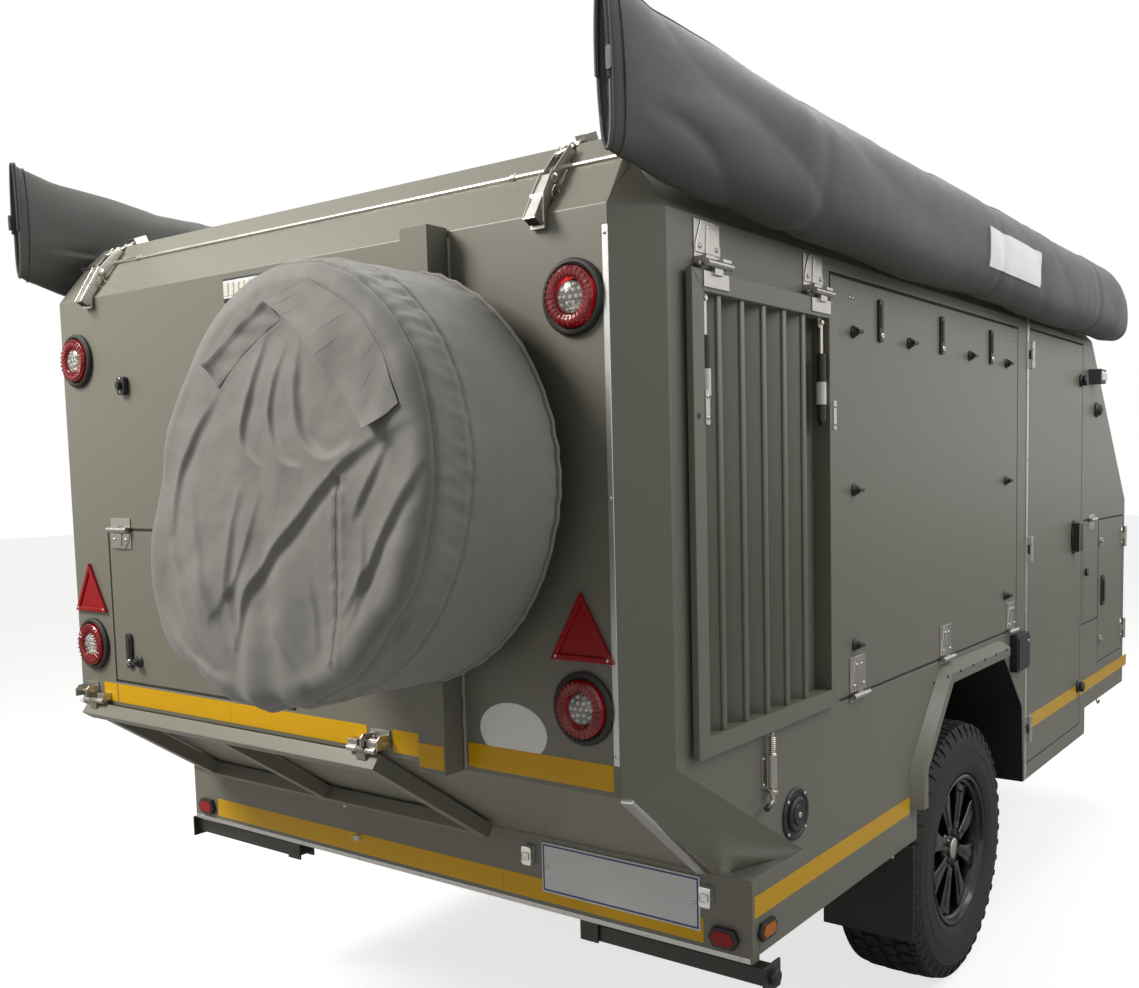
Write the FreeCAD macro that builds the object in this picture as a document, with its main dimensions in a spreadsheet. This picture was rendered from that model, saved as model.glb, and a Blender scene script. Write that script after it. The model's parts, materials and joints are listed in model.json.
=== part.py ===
import FreeCAD, Part
import math
import os
import re
import Sketcher

# Off-road caravan with one axle, a faceted hard shell and a lifting roof.
# Millimetres. +X is the caravan's right, +Y is forward and +Z is up from the ground.
# Stations are measured forward from the flat rear panel, which lies at rear_face.
SIZES = {
    # shell
    "half_width": 990,
    "wall": 30,
    "crest": 2212,
    "facet_rise": 149,
    "crest_in": 109,
    "cap_depth": 49,
    "seal_gap": 5.3,
    "seat_gap": 0.3,
    "corner_across": 66,
    "corner_along": 88,
    "corner_lean": 0.75,
    "undercut_top": 986,
    "bumper_station": 363,
    "bumper_top": 725,
    "bumper_bottom": 544,
    "rear_sill": 556,
    "step_bottom": 480,
    "front_sill": 585,
    "front_break": 1320,
    "nose_run": 700,
    "facet_low_across": 77,
    "facet_high_across": 53,
    "facet_lift": 44,
    # side openings in order from the rear: louvre hatch, kitchen hatch, door, locker, nose hatch
    "louvre_rear": 138,
    "louvre_width": 607,
    "louvre_head": 103,
    "louvre_member": 40,
    "louvre_proud": 21,
    "louvre_thick": 15,
    "slat_count": 5,
    "slat_width": 92,
    "slat_thick": 3,
    "slat_turn": 28,
    "louvre_pin_out": 9,
    "louvre_pin_up": 12,
    "louvre_hinge_in": 83,
    "louvre_leaf": 84,
    "louvre_tongue": 44,
    "hatch_gap": 9,
    "kitchen_width": 1396,
    "kitchen_head": 36,
    "kitchen_sill": 71,
    "door_behind": 135,
    "door_width": 695,
    "door_low": 540,
    "door_head": 26,
    "handle_in": 90,
    "handle_width": 50,
    "handle_low": 1240,
    "handle_height": 112,
    "handle_out": 32,
    "locker_behind": 40,
    "locker_width": 236,
    "locker_low": 937,
    "locker_high": 1347,
    "nose_behind": 14,
    "nose_width": 420,
    "nose_low": 747,
    "nose_high": 1340,
    "nose_margin": 130,
    "step_margin": 40,
    "step_lead": 90,
    # wheel arch
    "arch_to_step": 19,
    "arch_lead": 131,
    "arch_gap": 33,
    "arch_rise_run": 196,
    "arch_fall_run": 210,
    "arch_rise": 212,
    "arch_fall": 213,
    "arch_travel": 174,
    "arch_depth": 305,
    "liner": 4,
    "flare_out": 34,
    "flare_width": 50,
    "flare_bevel": 22,
    "flare_short": 31,
    "flare_foot": 650,
    # running gear
    "tyre_radius": 395,
    "tyre_width": 265,
    "tyre_inset": 20,
    "rim_radius": 232,
    "lug_count": 40,
    "lug_depth": 10,
    "axle_radius": 30,
    "drum_radius": 150,
    "drum_width": 70,
    "arm_length": 430,
    "arm_half": 35,
    "spring_radius": 36,
    "running_gap": 0.05,
    "swing_gap": 7,
    # chassis and coupler
    "rail_clear": 105,
    "rail_width": 60,
    "rail_bottom": 420,
    "rail_rear": 600,
    "rail_lead": 30,
    "member_width": 60,
    "drawbar_reach": 1130,
    "drawbar_end_in": 22,
    "drawbar_end_out": 84,
    "coupler_length": 220,
    "coupler_radius": 45,
    "ball_radius": 25.5,
    "ball_depth": 40,
    # hinges
    "barrel_radius": 7,
    "pin_radius": 4,
    "leaf_thick": 3,
    "hinge_stand": 12,
    "hinge_length": 90,
    "hinge_web": 8,
    "kitchen_hinge_rear": 134,
    "kitchen_hinge_front": 60,
    "kitchen_hinge_shift": 35,
    "kitchen_leaf": 95,
    "nose_hinge_in": 90,
    "door_hinge_low": 121,
    "door_hinge_high": 85,
    "rear_hinge_in": 60,
    # rear fittings
    "post_left": 455,
    "post_right": 530,
    "post_depth": 55,
    "post_over": 7,
    "post_bottom": 986,
    "spare_centre": 450,
    "spare_height": 1580,
    "spare_gap": 3,
    "cover_cloth": 5,
    "cover_front": -62,
    "cover_rear_high": -345,
    "cover_rear_low": -432,
    "rear_hatch_left": -746,
    "rear_hatch_right": -10,
    "rear_hatch_low": 1057,
    "rear_hatch_high": 1455,
    "lamp_radius": 70,
    "lamp_depth": 26,
    "lamp_inset": 145,
    "lamp_low": 1147,
    "lamp_drop": 158,
    "triangle_side": 150,
    "triangle_low": 1236,
    "triangle_high": 1366,
    "triangle_depth": 9,
    "marker_inset": 68,
    "marker_width": 76,
    "marker_low": 568,
    "marker_height": 44,
    "marker_depth": 14,
    "work_lamp_left": -172,
    "work_lamp_right": 98,
    "work_lamp_drop": 23,
    "work_lamp_height": 54,
    "work_lamp_depth": 40,
    "plate_left": 415,
    "plate_right": 862,
    "plate_low": 591,
    "plate_high": 712,
    "plate_depth": 5,
    "rod_radius": 6,
    "rod_inset": 60,
    "clamp_inset": 220,
    # rack under the undercut
    "rack_left": -870,
    "rack_right": 290,
    "rack_tube": 34,
    "rack_reach": 440,
    "rack_axis_back": 24,
    "rack_axis_height": 998,
    # steadies
    "steady_pivot": 540,
    "steady_over": 20,
    "steady_tube": 38,
    "steady_station": 402,
    "steady_height": 512,
    # jockey wheel
    "jockey_across": -228,
    "jockey_behind": 400,
    "jockey_tube": 30,
    "jockey_bore": 22,
    "jockey_wheel_radius": 110,
    "jockey_wheel_width": 62,
    "jockey_trail": 45,
    # mud flaps, roof vent and awning bags
    "flap_inner": 740,
    "flap_thick": 6,
    "flap_behind": 76,
    "flap_bottom": 292,
    "vent_side": 400,
    "vent_behind_front": 2920,
    "vent_height": 70,
    "bag_rear": -70,
    "bag_short": 590,
}

# Places that follow from the sizes. The caravan's origin is on the ground under its middle.
PLACES = {
    "crease": "crest - facet_rise",
    "roof_split": "crest - cap_depth",
    "panel_edge": "half_width - corner_across",
    "louvre_front": "louvre_rear + louvre_width",
    "kitchen_rear": "louvre_front + hatch_gap",
    "kitchen_front": "kitchen_rear + kitchen_width",
    "door_rear": "kitchen_front + door_behind",
    "door_front": "door_rear + door_width",
    "locker_rear": "door_front + locker_behind",
    "locker_front": "locker_rear + locker_width",
    "nose_rear": "locker_front + nose_behind",
    "nose_front": "nose_rear + nose_width",
    "front_station": "nose_front + nose_margin",
    "nose_station": "front_station - nose_run",
    "step_rear": "door_rear - step_margin",
    "step_front": "door_front + step_lead",
    "arch_front": "step_rear - arch_to_step",
    "wheel_station": "arch_front - arch_lead - tyre_radius",
    "arch_rear": "wheel_station - tyre_radius - arch_gap",
    "arch_rise_end": "arch_rear + arch_rise_run",
    "arch_fall_start": "arch_front - arch_fall_run",
    "arch_top": "2*tyre_radius + arch_travel",
    "arch_rear_top": "arch_top - arch_rise",
    "arch_front_top": "arch_top - arch_fall",
    "flare_end": "arch_fall_start - flare_short",
    "kitchen_low": "arch_top + kitchen_sill",
    "kitchen_high": "crease - kitchen_head",
    "louvre_low": "kitchen_low",
    "louvre_high": "crease - louvre_head",
    "door_high": "crease - door_head",
    "tyre_outer": "half_width - tyre_inset",
    "rail_outer": "half_width - arch_depth - rail_clear",
    "rail_front": "step_front + rail_lead",
    "coupler_station": "front_station + drawbar_reach",
    "coupler_front": "coupler_station + coupler_length",
    "jockey_station": "coupler_station - jockey_behind",
    "post_top": "crease + post_over",
    "lamp_across": "half_width - lamp_inset",
    "lamp_high": "crease - lamp_drop",
    "rod_half": "half_width - rod_inset",
    "clamp_across": "half_width - clamp_inset",
    "rack_axis_station": "-rack_axis_back",
    "rack_lean": "atan((undercut_top - bumper_top)/bumper_station)",
    "steady_reach": "half_width + steady_over - steady_pivot",
    "bag_front": "front_station - bag_short",
    "rear_face": "-(coupler_front + cover_rear_low)/2",
}

doc = FreeCAD.newDocument("caravan")
sheet = doc.addObject("Spreadsheet::Sheet", "Sizes")
for row, (word, number) in enumerate(SIZES.items(), start=1):
    sheet.set(f"A{row}", word)
    sheet.set(f"B{row}", str(number))
    sheet.setAlias(f"B{row}", word)
places = doc.addObject("App::VarSet", "Places")


def linked(text):
    """Writes the sheet's or the places' name before each word that an expression uses."""
    def owner(match):
        word = match.group(0)
        return f"Sizes.{word}" if word in SIZES else f"Places.{word}" if word in PLACES else word
    return re.sub(r"[a-z][a-z0-9_]*", owner, str(text))


for word, formula in PLACES.items():
    places.addProperty("App::PropertyFloat", word, "Places")
    places.setExpression(word, linked(formula))
doc.recompute()

V = FreeCAD.Vector
ALONG_X = FreeCAD.Rotation(V(1, 1, 1), 120)
ALONG_Y = FreeCAD.Rotation(V(1, 0, 0), 90)
CYLINDER_TURN = {"x": FreeCAD.Rotation(V(0, 1, 0), 90), "y": FreeCAD.Rotation(V(1, 0, 0), -90),
                 "z": FreeCAD.Rotation()}
NODES = []


def cell(word):
    """Gives one size or place as a number."""
    return getattr(places, word) if word in PLACES else float(sheet.get(word))


def bind(thing, prop, text):
    thing.setExpression(prop, linked(text))


def place(thing, across, station, height):
    """Ties an object's corner or centre to its place, the station counted from the rear panel."""
    bind(thing, "Placement.Base.x", across)
    bind(thing, "Placement.Base.y", f"rear_face + {station}")
    bind(thing, "Placement.Base.z", height)


def new(kind, label):
    thing = doc.addObject(kind, label)
    thing.Label = label
    return thing


def box(label, x, y, z):
    """A box between two expressions on each axis."""
    thing = new("Part::Box", label)
    bind(thing, "Length", f"({x[1]}) - ({x[0]})")
    bind(thing, "Width", f"({y[1]}) - ({y[0]})")
    bind(thing, "Height", f"({z[1]}) - ({z[0]})")
    place(thing, x[0], f"({y[0]})", z[0])
    return thing


def cylinder(label, axis, centre, radius, length):
    """A cylinder that starts at centre and runs along +axis."""
    thing = new("Part::Cylinder", label)
    thing.Placement = FreeCAD.Placement(V(0, 0, 0), CYLINDER_TURN[axis])
    bind(thing, "Radius", radius)
    bind(thing, "Height", length)
    place(thing, centre[0], f"({centre[1]})", centre[2])
    return thing


def sketch(label, outline, rotation):
    """A closed outline whose corners are tied to pairs of expressions."""
    drawing = new("Sketcher::SketchObject", label)
    drawing.Placement = FreeCAD.Placement(V(0, 0, 0), rotation)
    count = len(outline)
    ring = [V(100 * math.cos(2 * math.pi * i / count), 100 * math.sin(2 * math.pi * i / count), 0)
            for i in range(count)]
    for i in range(count):
        drawing.addGeometry(Part.LineSegment(ring[i], ring[(i + 1) % count]))
    for i in range(count):
        drawing.addConstraint(Sketcher.Constraint("Coincident", i, 2, (i + 1) % count, 1))
    for i, corner in enumerate(outline):
        for kind, text, value in (("DistanceX", corner[0], ring[i].x), ("DistanceY", corner[1], ring[i].y)):
            number = drawing.addConstraint(Sketcher.Constraint(kind, -1, 1, i, 1, value))
            bind(drawing, f"Constraints[{number}]", text)
    return drawing


def prism(label, axis, outline, span):
    """An outline pushed along an axis between two expressions. Along X the outline is (station, height),
    along Y (across, height) and along Z (across, station)."""
    rotation = {"x": ALONG_X, "y": ALONG_Y, "z": FreeCAD.Rotation()}[axis]
    drawing = sketch(label + "_outline", outline, rotation)
    start = {"x": (span[0], "0", "0"), "y": ("0", f"({span[0]})", "0"), "z": ("0", "0", span[0])}[axis]
    place(drawing, *start)
    thing = new("Part::Extrusion", label)
    thing.Base = drawing
    thing.DirMode = "Custom"
    thing.Dir = {"x": V(1, 0, 0), "y": V(0, 1, 0), "z": V(0, 0, 1)}[axis]
    bind(thing, "LengthFwd", f"({span[1]}) - ({span[0]})")
    thing.Solid = True
    return thing


def cut(label, base, *tools):
    """Takes the tools away from the base."""
    thing = new("Part::Cut", label)
    thing.Base = base
    thing.Tool = tools[0] if len(tools) == 1 else group(label + "_tools", *tools)
    return thing


def group(label, *pieces):
    thing = new("Part::Compound", label)
    thing.Links = list(pieces)
    return thing


def fuse(label, *pieces):
    thing = new("Part::MultiFuse", label)
    thing.Shapes = list(pieces)
    thing.Refine = True
    return thing


def common(label, *pieces):
    thing = new("Part::MultiCommon", label)
    thing.Shapes = list(pieces)
    return thing


def mirrored(label, source):
    """The same piece on the other side of the middle plane."""
    thing = new("Part::Mirroring", label)
    thing.Source = source
    thing.Normal = V(1, 0, 0)
    return thing


def shape(label, solid):
    """A shape worked out from the sheet's values, moved to its station."""
    thing = new("Part::Feature", label)
    thing.Shape = solid
    thing.Placement = FreeCAD.Placement(V(0, cell("rear_face"), 0), FreeCAD.Rotation())
    return thing


def shape_at_origin(label, solid):
    """A shape worked out about its own axis, which a group moves to its place."""
    thing = new("Part::Feature", label)
    thing.Shape = solid
    return thing


def node(label, thing):
    """Names a finished sub-part."""
    thing.Label = label
    NODES.append(thing)
    return thing


# The shell is one faceted form, hollow by the wall, and is parted where its panels meet.
UNDERCUT_FALL = "(undercut_top - bumper_top)/bumper_station"
UNDERCUT_LIFT = "wall*sqrt(bumper_station^2 + (undercut_top - bumper_top)^2)/bumper_station"
FACET_RISE = "facet_rise"
FACET_IN = f"wall*sqrt(crest_in^2 + {FACET_RISE}^2)/{FACET_RISE}"
NOSE_RUN = "nose_run"
NOSE_RISE = "(crease - front_break)"
NOSE_IN = f"wall*sqrt({NOSE_RUN}^2 + {NOSE_RISE}^2)/{NOSE_RISE}"
CORNER = "sqrt(corner_across^2 + corner_along^2)"
# Construction blocks end this far past the shell.
PAST = 10
UNDER = f"step_bottom - 8*{PAST}"
PAST_SIDES = (f"-half_width - {PAST}", f"half_width + {PAST}")
PAST_ENDS = (f"-{PAST}", f"front_station + {PAST}")
PAST_HEIGHTS = (UNDER, f"crest + {PAST}")


def nose_at(height, inset="0"):
    """Station of the sloping nose at a height, moved back by an inset."""
    return f"front_station - (({height}) - front_break)*{NOSE_RUN}/{NOSE_RISE} - {inset}"


def outer_shell():
    side = [("0", "undercut_top"), ("0", "crease"), ("crest_in", "crest"), (nose_at("crest"), "crest"),
            ("front_station", "front_break"), ("front_station", "front_sill"),
            ("step_front", "front_sill"), ("step_front", "step_bottom"), ("step_rear", "step_bottom"),
            ("step_rear", "rear_sill"), ("bumper_station", "rear_sill"), ("bumper_station", "bumper_top")]
    rear = [("-half_width", UNDER), ("half_width", UNDER), ("half_width", "crease"),
            ("half_width - crest_in", "crest"), ("crest_in - half_width", "crest"), ("-half_width", "crease")]
    plan = [("half_width", "corner_along"), ("half_width", "front_station - corner_along"),
            ("half_width - corner_across", "front_station"), ("corner_across - half_width", "front_station"),
            ("-half_width", "front_station - corner_along"), ("-half_width", "corner_along"),
            ("corner_across - half_width", "0"), ("half_width - corner_across", "0")]
    body = common("outer_form", prism("outer_side", "x", side, PAST_SIDES),
                  prism("outer_rear", "y", rear, PAST_ENDS),
                  prism("outer_plan", "z", plan, PAST_HEIGHTS))
    return cut("outer_shell", body, *corner_cuts(), *undercut_cuts("outer", 0))


def inner_shell():
    slope = f"undercut_top + {UNDERCUT_LIFT}"
    behind = "bumper_station + wall"
    side = [("wall", f"{slope} - wall*{UNDERCUT_FALL}"),
            ("wall", f"crease - ({FACET_IN} - wall)*{FACET_RISE}/crest_in"),
            (f"{FACET_IN} + ({FACET_RISE} - wall)*crest_in/{FACET_RISE}", "crest - wall"),
            (nose_at("crest - wall", NOSE_IN), "crest - wall"),
            ("front_station - wall", f"front_break - ({NOSE_IN} - wall)*{NOSE_RISE}/{NOSE_RUN}"),
            ("front_station - wall", "front_sill + wall"), ("step_front - wall", "front_sill + wall"),
            ("step_front - wall", "step_bottom + wall"), ("step_rear + wall", "step_bottom + wall"),
            ("step_rear + wall", "rear_sill + wall"), (behind, "rear_sill + wall"),
            (behind, f"{slope} - ({behind})*{UNDERCUT_FALL}")]
    facet_x = f"half_width - {FACET_IN} - ({FACET_RISE} - wall)*crest_in/{FACET_RISE}"
    knee = f"crease - ({FACET_IN} - wall)*{FACET_RISE}/crest_in"
    rear = [("wall - half_width", UNDER), ("half_width - wall", UNDER), ("half_width - wall", knee),
            (facet_x, "crest - wall"), (f"-({facet_x})", "crest - wall"), ("wall - half_width", knee)]
    corner_in = f"wall*{CORNER}/corner_along"
    end_x = f"half_width - corner_across - {corner_in} + wall*corner_across/corner_along"
    turn_y = f"({corner_in} + corner_across - wall)*corner_along/corner_across"
    plan = [("half_width - wall", turn_y), ("half_width - wall", f"front_station - ({turn_y})"),
            (end_x, "front_station - wall"), (f"-({end_x})", "front_station - wall"),
            ("wall - half_width", f"front_station - ({turn_y})"), ("wall - half_width", turn_y),
            (f"-({end_x})", "wall"), (end_x, "wall")]
    body = common("inner_form", prism("inner_side", "x", side, PAST_SIDES),
                  prism("inner_rear", "y", rear, ("0", "front_station")),
                  prism("inner_plan", "z", plan, PAST_HEIGHTS))
    return cut("inner_shell", body, *undercut_cuts("inner", cell("wall")))


def beyond(label, corner, side_a, side_b, inset, low):
    """A block on the far side of a plane, to trim a corner. The plane holds corner, side_a and side_b, and
    the block stays above a height."""
    one = (side_a - corner).normalize()
    normal = one.cross(side_b - corner).normalize()
    if normal.x * corner.x < 0:
        normal = -normal
    two = normal.cross(one)
    reach = 0.7 * cell("half_width")
    middle = corner - normal * inset
    ring = [middle + one * (reach * a) + two * (reach * b) for a, b in ((-1, -1), (1, -1), (1, 1), (-1, 1))]
    block = Part.Face(Part.makePolygon(ring + ring[:1])).extrude(normal * (reach / 2))
    above = Part.makeBox(4 * reach, 4 * reach, 3 * reach, V(-2 * reach, corner.y - 2 * reach, low))
    return shape(label, block.common(above))


def corner_cuts():
    """The small three-sided facets where rear or front, side and roof facets meet."""
    half, along = cell("half_width"), cell("corner_along")
    across, crease = cell("corner_across"), cell("crease")
    inward = V(-along, across, 0).normalize() * (cell("crest_in") * cell("corner_lean"))
    cuts = []
    for name, side, rear in (("rr", 1, 1), ("rl", -1, 1), ("fr", 1, -1), ("fl", -1, -1)):
        def point(x, y, z):
            station = y if rear > 0 else cell("front_station") - y
            return V(side * x, station, z)
        first = point(half - across, 0, crease)
        second = point(half, along, crease)
        third = point(half - across + inward.x, inward.y, cell("crest"))
        cuts.append(beyond("corner_" + name, first, second, third, 0, crease - along))
    return cuts


def undercut_cuts(name, inset):
    """The facets between the undercut and the side walls."""
    half, depth = cell("half_width"), cell("bumper_station")
    high, low = cell("undercut_top"), cell("bumper_top")
    top_in, low_in = cell("facet_high_across"), cell("facet_low_across")
    cuts = []
    for mark, side in (("r", 1), ("l", -1)):
        first = V(side * (half - top_in), 0, high)
        second = V(side * (half - low_in), depth, low)
        third = V(side * half, cell("corner_along"), high + cell("facet_lift"))
        cuts.append(beyond(f"undercut_{name}_{mark}", first, second, third, inset, low))
    return cuts


THROUGH_WALL = (f"half_width - wall - {PAST}", f"half_width + {PAST}")


def side_box(label, rear, front, low, high, grow):
    """A box through the right side wall around an opening, larger or smaller by grow."""
    return box(label, THROUGH_WALL, (f"{rear} - ({grow})", f"{front} + ({grow})"),
               (f"{low} - ({grow})", f"{high} + ({grow})"))


SIDE_OPENINGS = [
    ("kitchen", "kitchen_rear", "kitchen_front", "kitchen_low", "kitchen_high"),
    ("nose", "nose_rear", "nose_front", "nose_low", "nose_high"),
]
RIGHT_OPENINGS = [
    ("door", "door_rear", "door_front", "door_low", "door_high"),
    ("locker", "locker_rear", "locker_front", "locker_low", "locker_high"),
]
PANEL_NAMES = {"door": "entry_door", "kitchen": "kitchen_hatch_right", "nose": "nose_hatch_right",
               "locker": "locker_hatch"}
ARCH = [("arch_rear", UNDER), ("arch_rear", "arch_rear_top"), ("arch_rise_end", "arch_top"),
        ("arch_fall_start", "arch_top"), ("arch_front", "arch_front_top"), ("step_rear", "step_bottom"),
        ("step_rear", UNDER)]


def louvre_opening(label):
    return side_box(label, "louvre_rear", "louvre_front", "louvre_low", "louvre_high",
                    "swing_gap - louvre_member")


def panels():
    """The shell's panels, its hatches and the entrance door."""
    shell = cut("shell", outer_shell(), inner_shell())
    seam = "roof_split - seal_gap"
    above = PAST_HEIGHTS[1]
    edge = ("-panel_edge", "panel_edge")
    floor_top = "front_sill + wall"
    rear_zone = box("rear_zone", edge, (f"-{PAST}", "bumper_station + 2*wall"), ("bumper_top", seam))
    front_zone = box("front_zone", edge, ("front_station - nose_run - crest_in", PAST_ENDS[1]), (floor_top, seam))
    floor_zone = box("floor_zone", ("wall - half_width", "half_width - wall"),
                     ("bumper_station + wall", PAST_ENDS[1]), (UNDER, floor_top))
    bumper_zone = box("bumper_zone", PAST_SIDES, (f"bumper_station - {PAST}", "bumper_station + wall"),
                      (UNDER, "bumper_top"))
    roof_zone = box("roof_zone", PAST_SIDES, PAST_ENDS, ("roof_split", above))
    top_zone = box("top_zone", PAST_SIDES, PAST_ENDS, (seam, above))
    seal_zone = box("seal_zone", PAST_SIDES, PAST_ENDS, (seam, "roof_split - seat_gap"))
    node("roof_cap", common("roof_cap", shell, roof_zone))
    node("roof_seal", common("roof_seal", shell, seal_zone))
    node("front_wall", common("front_wall", shell, front_zone))

    rear_panel = common("rear_panel", shell, rear_zone)
    behind = (f"-{PAST}", f"wall + {PAST}")
    hatch_hole = box("rear_hatch_hole", ("rear_hatch_left - swing_gap", "rear_hatch_right + swing_gap"), behind,
                     ("rear_hatch_low - swing_gap", "rear_hatch_high + swing_gap"))
    node("rear_wall", cut("rear_wall", rear_panel, hatch_hole))
    hatch_block = box("rear_hatch_block", ("rear_hatch_left", "rear_hatch_right"), behind,
                      ("rear_hatch_low", "rear_hatch_high"))
    node("rear_hatch", common("rear_hatch", shell, hatch_block))

    bumper = common("bumper_form", shell, bumper_zone)
    lip = box("bumper_lip", ("-half_width", "half_width"), ("bumper_station", "bumper_station + wall"),
              ("bumper_bottom", "rear_sill"))
    node("rear_bumper", fuse("rear_bumper", bumper, lip))

    arch = prism("arch_block", "x", ARCH, ("half_width - arch_depth", f"half_width + {PAST}"))
    arch_left = mirrored("arch_block_left", arch)
    node("floor_panel", cut("floor_panel", common("floor_form", shell, floor_zone), arch, arch_left))

    sides = cut("sides_form", shell, top_zone, rear_zone, front_zone, floor_zone, bumper_zone)
    right_half = box("right_half", (str(PAST), PAST_SIDES[1]), PAST_ENDS, (UNDER, above))
    right_form = common("right_form", sides, right_half)
    holes = [side_box(f"{name}_hole", *edges, "swing_gap") for name, *edges in SIDE_OPENINGS + RIGHT_OPENINGS]
    node("right_wall", cut("right_wall", right_form, arch, louvre_opening("louvre_hole"), *holes))
    left_holes = [side_box(f"{name}_left_hole", *edges, "swing_gap") for name, *edges in SIDE_OPENINGS]
    left_form = cut("left_form", right_form, arch, louvre_opening("louvre_left_hole"), *left_holes)
    node("left_wall", mirrored("left_wall", left_form))

    for name, *edges in SIDE_OPENINGS + RIGHT_OPENINGS:
        label = PANEL_NAMES[name]
        panel = node(label, common(label, shell, side_box(f"{name}_block", *edges, "0")))
        if label.endswith("right"):
            other = label.replace("right", "left")
            node(other, mirrored(other, panel))
    return arch


def wheel_boxes(arch):
    """Liners that keep the wheels out of the cabin."""
    bevel = "0.4*liner"
    inset = [("arch_rear + liner", f"{UNDER} - {PAST}"), ("arch_rear + liner", f"arch_rear_top - {bevel}"),
             (f"arch_rise_end + {bevel}", "arch_top - liner"), (f"arch_fall_start - {bevel}", "arch_top - liner"),
             ("arch_front - liner", f"arch_front_top - {bevel}"), ("step_rear - liner", "step_bottom"),
             ("step_rear - liner", f"{UNDER} - {PAST}")]
    hollow = prism("liner_hollow", "x", inset, ("half_width - arch_depth + liner", f"half_width + 2*{PAST}"))
    whole = (f"arch_rear - {PAST}", f"step_rear + {PAST}")
    outward = f"half_width + 2*{PAST}"
    below = box("liner_below", ("0", outward), whole, (f"{UNDER} - {PAST}", "step_bottom"))
    under_floor = box("liner_under_floor", ("0", outward), (whole[0], "arch_rear + arch_rise_run/2"),
                      (f"{UNDER} - {PAST}", "rear_sill"))
    outside = box("liner_outside", ("half_width - seat_gap", outward), whole,
                  (f"{UNDER} - {PAST}", f"arch_top + {PAST}"))
    right = cut("liner_right", arch, hollow, below, under_floor, outside)
    node("wheel_boxes", group("wheel_boxes", right, mirrored("liner_left", right)))


def flat(*corners):
    """A flat face through corners."""
    return Part.Face(Part.makePolygon([*corners, corners[0]]))


def closed(faces):
    """The solid that faces close."""
    solid = Part.Solid(Part.Shell(faces))
    if solid.Volume < 0:
        solid.reverse()
    return solid


def offset_path(path, width):
    """An open path of flat points moved to its left by a width, with mitred bends."""
    normals = []
    for a, b in zip(path, path[1:]):
        run, rise = b[0] - a[0], b[1] - a[1]
        size = math.hypot(run, rise)
        normals.append((-rise / size, run / size))
    moved = []
    for i, (y, z) in enumerate(path):
        one, two = normals[max(i - 1, 0)], normals[min(i, len(normals) - 1)]
        share = width / (1 + one[0] * two[0] + one[1] * two[1])
        moved.append((y + share * (one[0] + two[0]), z + share * (one[1] + two[1])))
    return moved


def flares():
    """A bevelled strip over the rear and the top of each arch."""
    rear, top = cell("arch_rear"), cell("arch_top")
    lip = [(rear, cell("flare_foot")), (rear, cell("arch_rear_top")), (cell("arch_rise_end"), top),
           (cell("flare_end"), top)]
    wall_edge = offset_path(lip, cell("flare_width"))
    face_edge = offset_path(lip, cell("flare_width") - cell("flare_bevel"))
    inner, outer = cell("half_width"), cell("half_width") + cell("flare_out")
    rings = [[V(inner, *a), V(outer, *a), V(outer, *b), V(inner, *c)] for a, b, c in zip(lip, face_edge, wall_edge)]
    faces = [flat(*rings[0]), flat(*rings[-1])]
    for one, two in zip(rings, rings[1:]):
        faces += [flat(one[i], one[(i + 1) % 4], two[(i + 1) % 4], two[i]) for i in range(4)]
    right = shape("flare_right", closed(faces))
    node("fender_flares", group("fender_flares", right, mirrored("flare_left", right)))


def revolved(label, outline):
    """An outline of (along X, radius) turned about the X axis."""
    drawing = sketch(label + "_outline", outline, ALONG_Y)
    thing = new("Part::Revolution", label)
    thing.Source = drawing
    thing.Axis = V(1, 0, 0)
    thing.Base = V(0, 0, 0)
    thing.Angle = 360
    thing.Solid = True
    return thing


def tyre(label, groove):
    """A tyre about the X axis, its outer wall at x = 0, with two staggered rows of lugs. Each pitch has a lug and
    a gap as deep as groove, and a tyre with no groove has a plain tread."""
    radius, seat, width = cell("tyre_radius"), cell("rim_radius") - 2, cell("tyre_width")
    steps = 2 * int(cell("lug_count"))
    side = [(8, seat), (0, seat + 52), (14, radius - 42)]
    edge_x, edge_r, row_x = 30, radius - 6, width / 2 - 6

    def turned(x, r, k):
        angle = 2 * math.pi * (k + 0.5) / steps
        return V(-x, r * math.sin(angle), -r * math.cos(angle))
    faces = []
    for k in range(steps):
        faces.append(flat(*[turned(x, seat, j) for x, j in ((8, k), (width - 8, k), (width - 8, k + 1), (8, k + 1))]))
        for flip in (0, 1):
            def at(x, r, j):
                return turned(width - x if flip else x, r, j)

            def band(a, b):
                faces.append(flat(at(*a, k), at(*b, k), at(*b, k + 1), at(*a, k + 1)))
            sunk = groove * ((k + flip) % 2)
            edge, row = (edge_x, edge_r - sunk), (row_x, radius - sunk)
            for a, b in zip(side, side[1:] + [edge]):
                band(a, b)
            band(edge, row)
            if groove:
                raised, lower = (edge_x, edge_r), (edge_x, edge_r - groove)
                top, floor = (row_x, radius), (row_x, radius - groove)
                faces.append(flat(at(*raised, k), at(*top, k), at(*floor, k), at(*lower, k)))
                faces.append(flat(at(*side[-1], k), at(*raised, k), at(*lower, k)))
                if not sunk:
                    band(row, floor)
        middle = radius - groove
        faces.append(flat(*[turned(x, middle, j) for x, j in ((row_x, k), (width - row_x, k),
                                                             (width - row_x, k + 1), (row_x, k + 1))]))
    return shape_at_origin(label, closed(faces))


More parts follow.
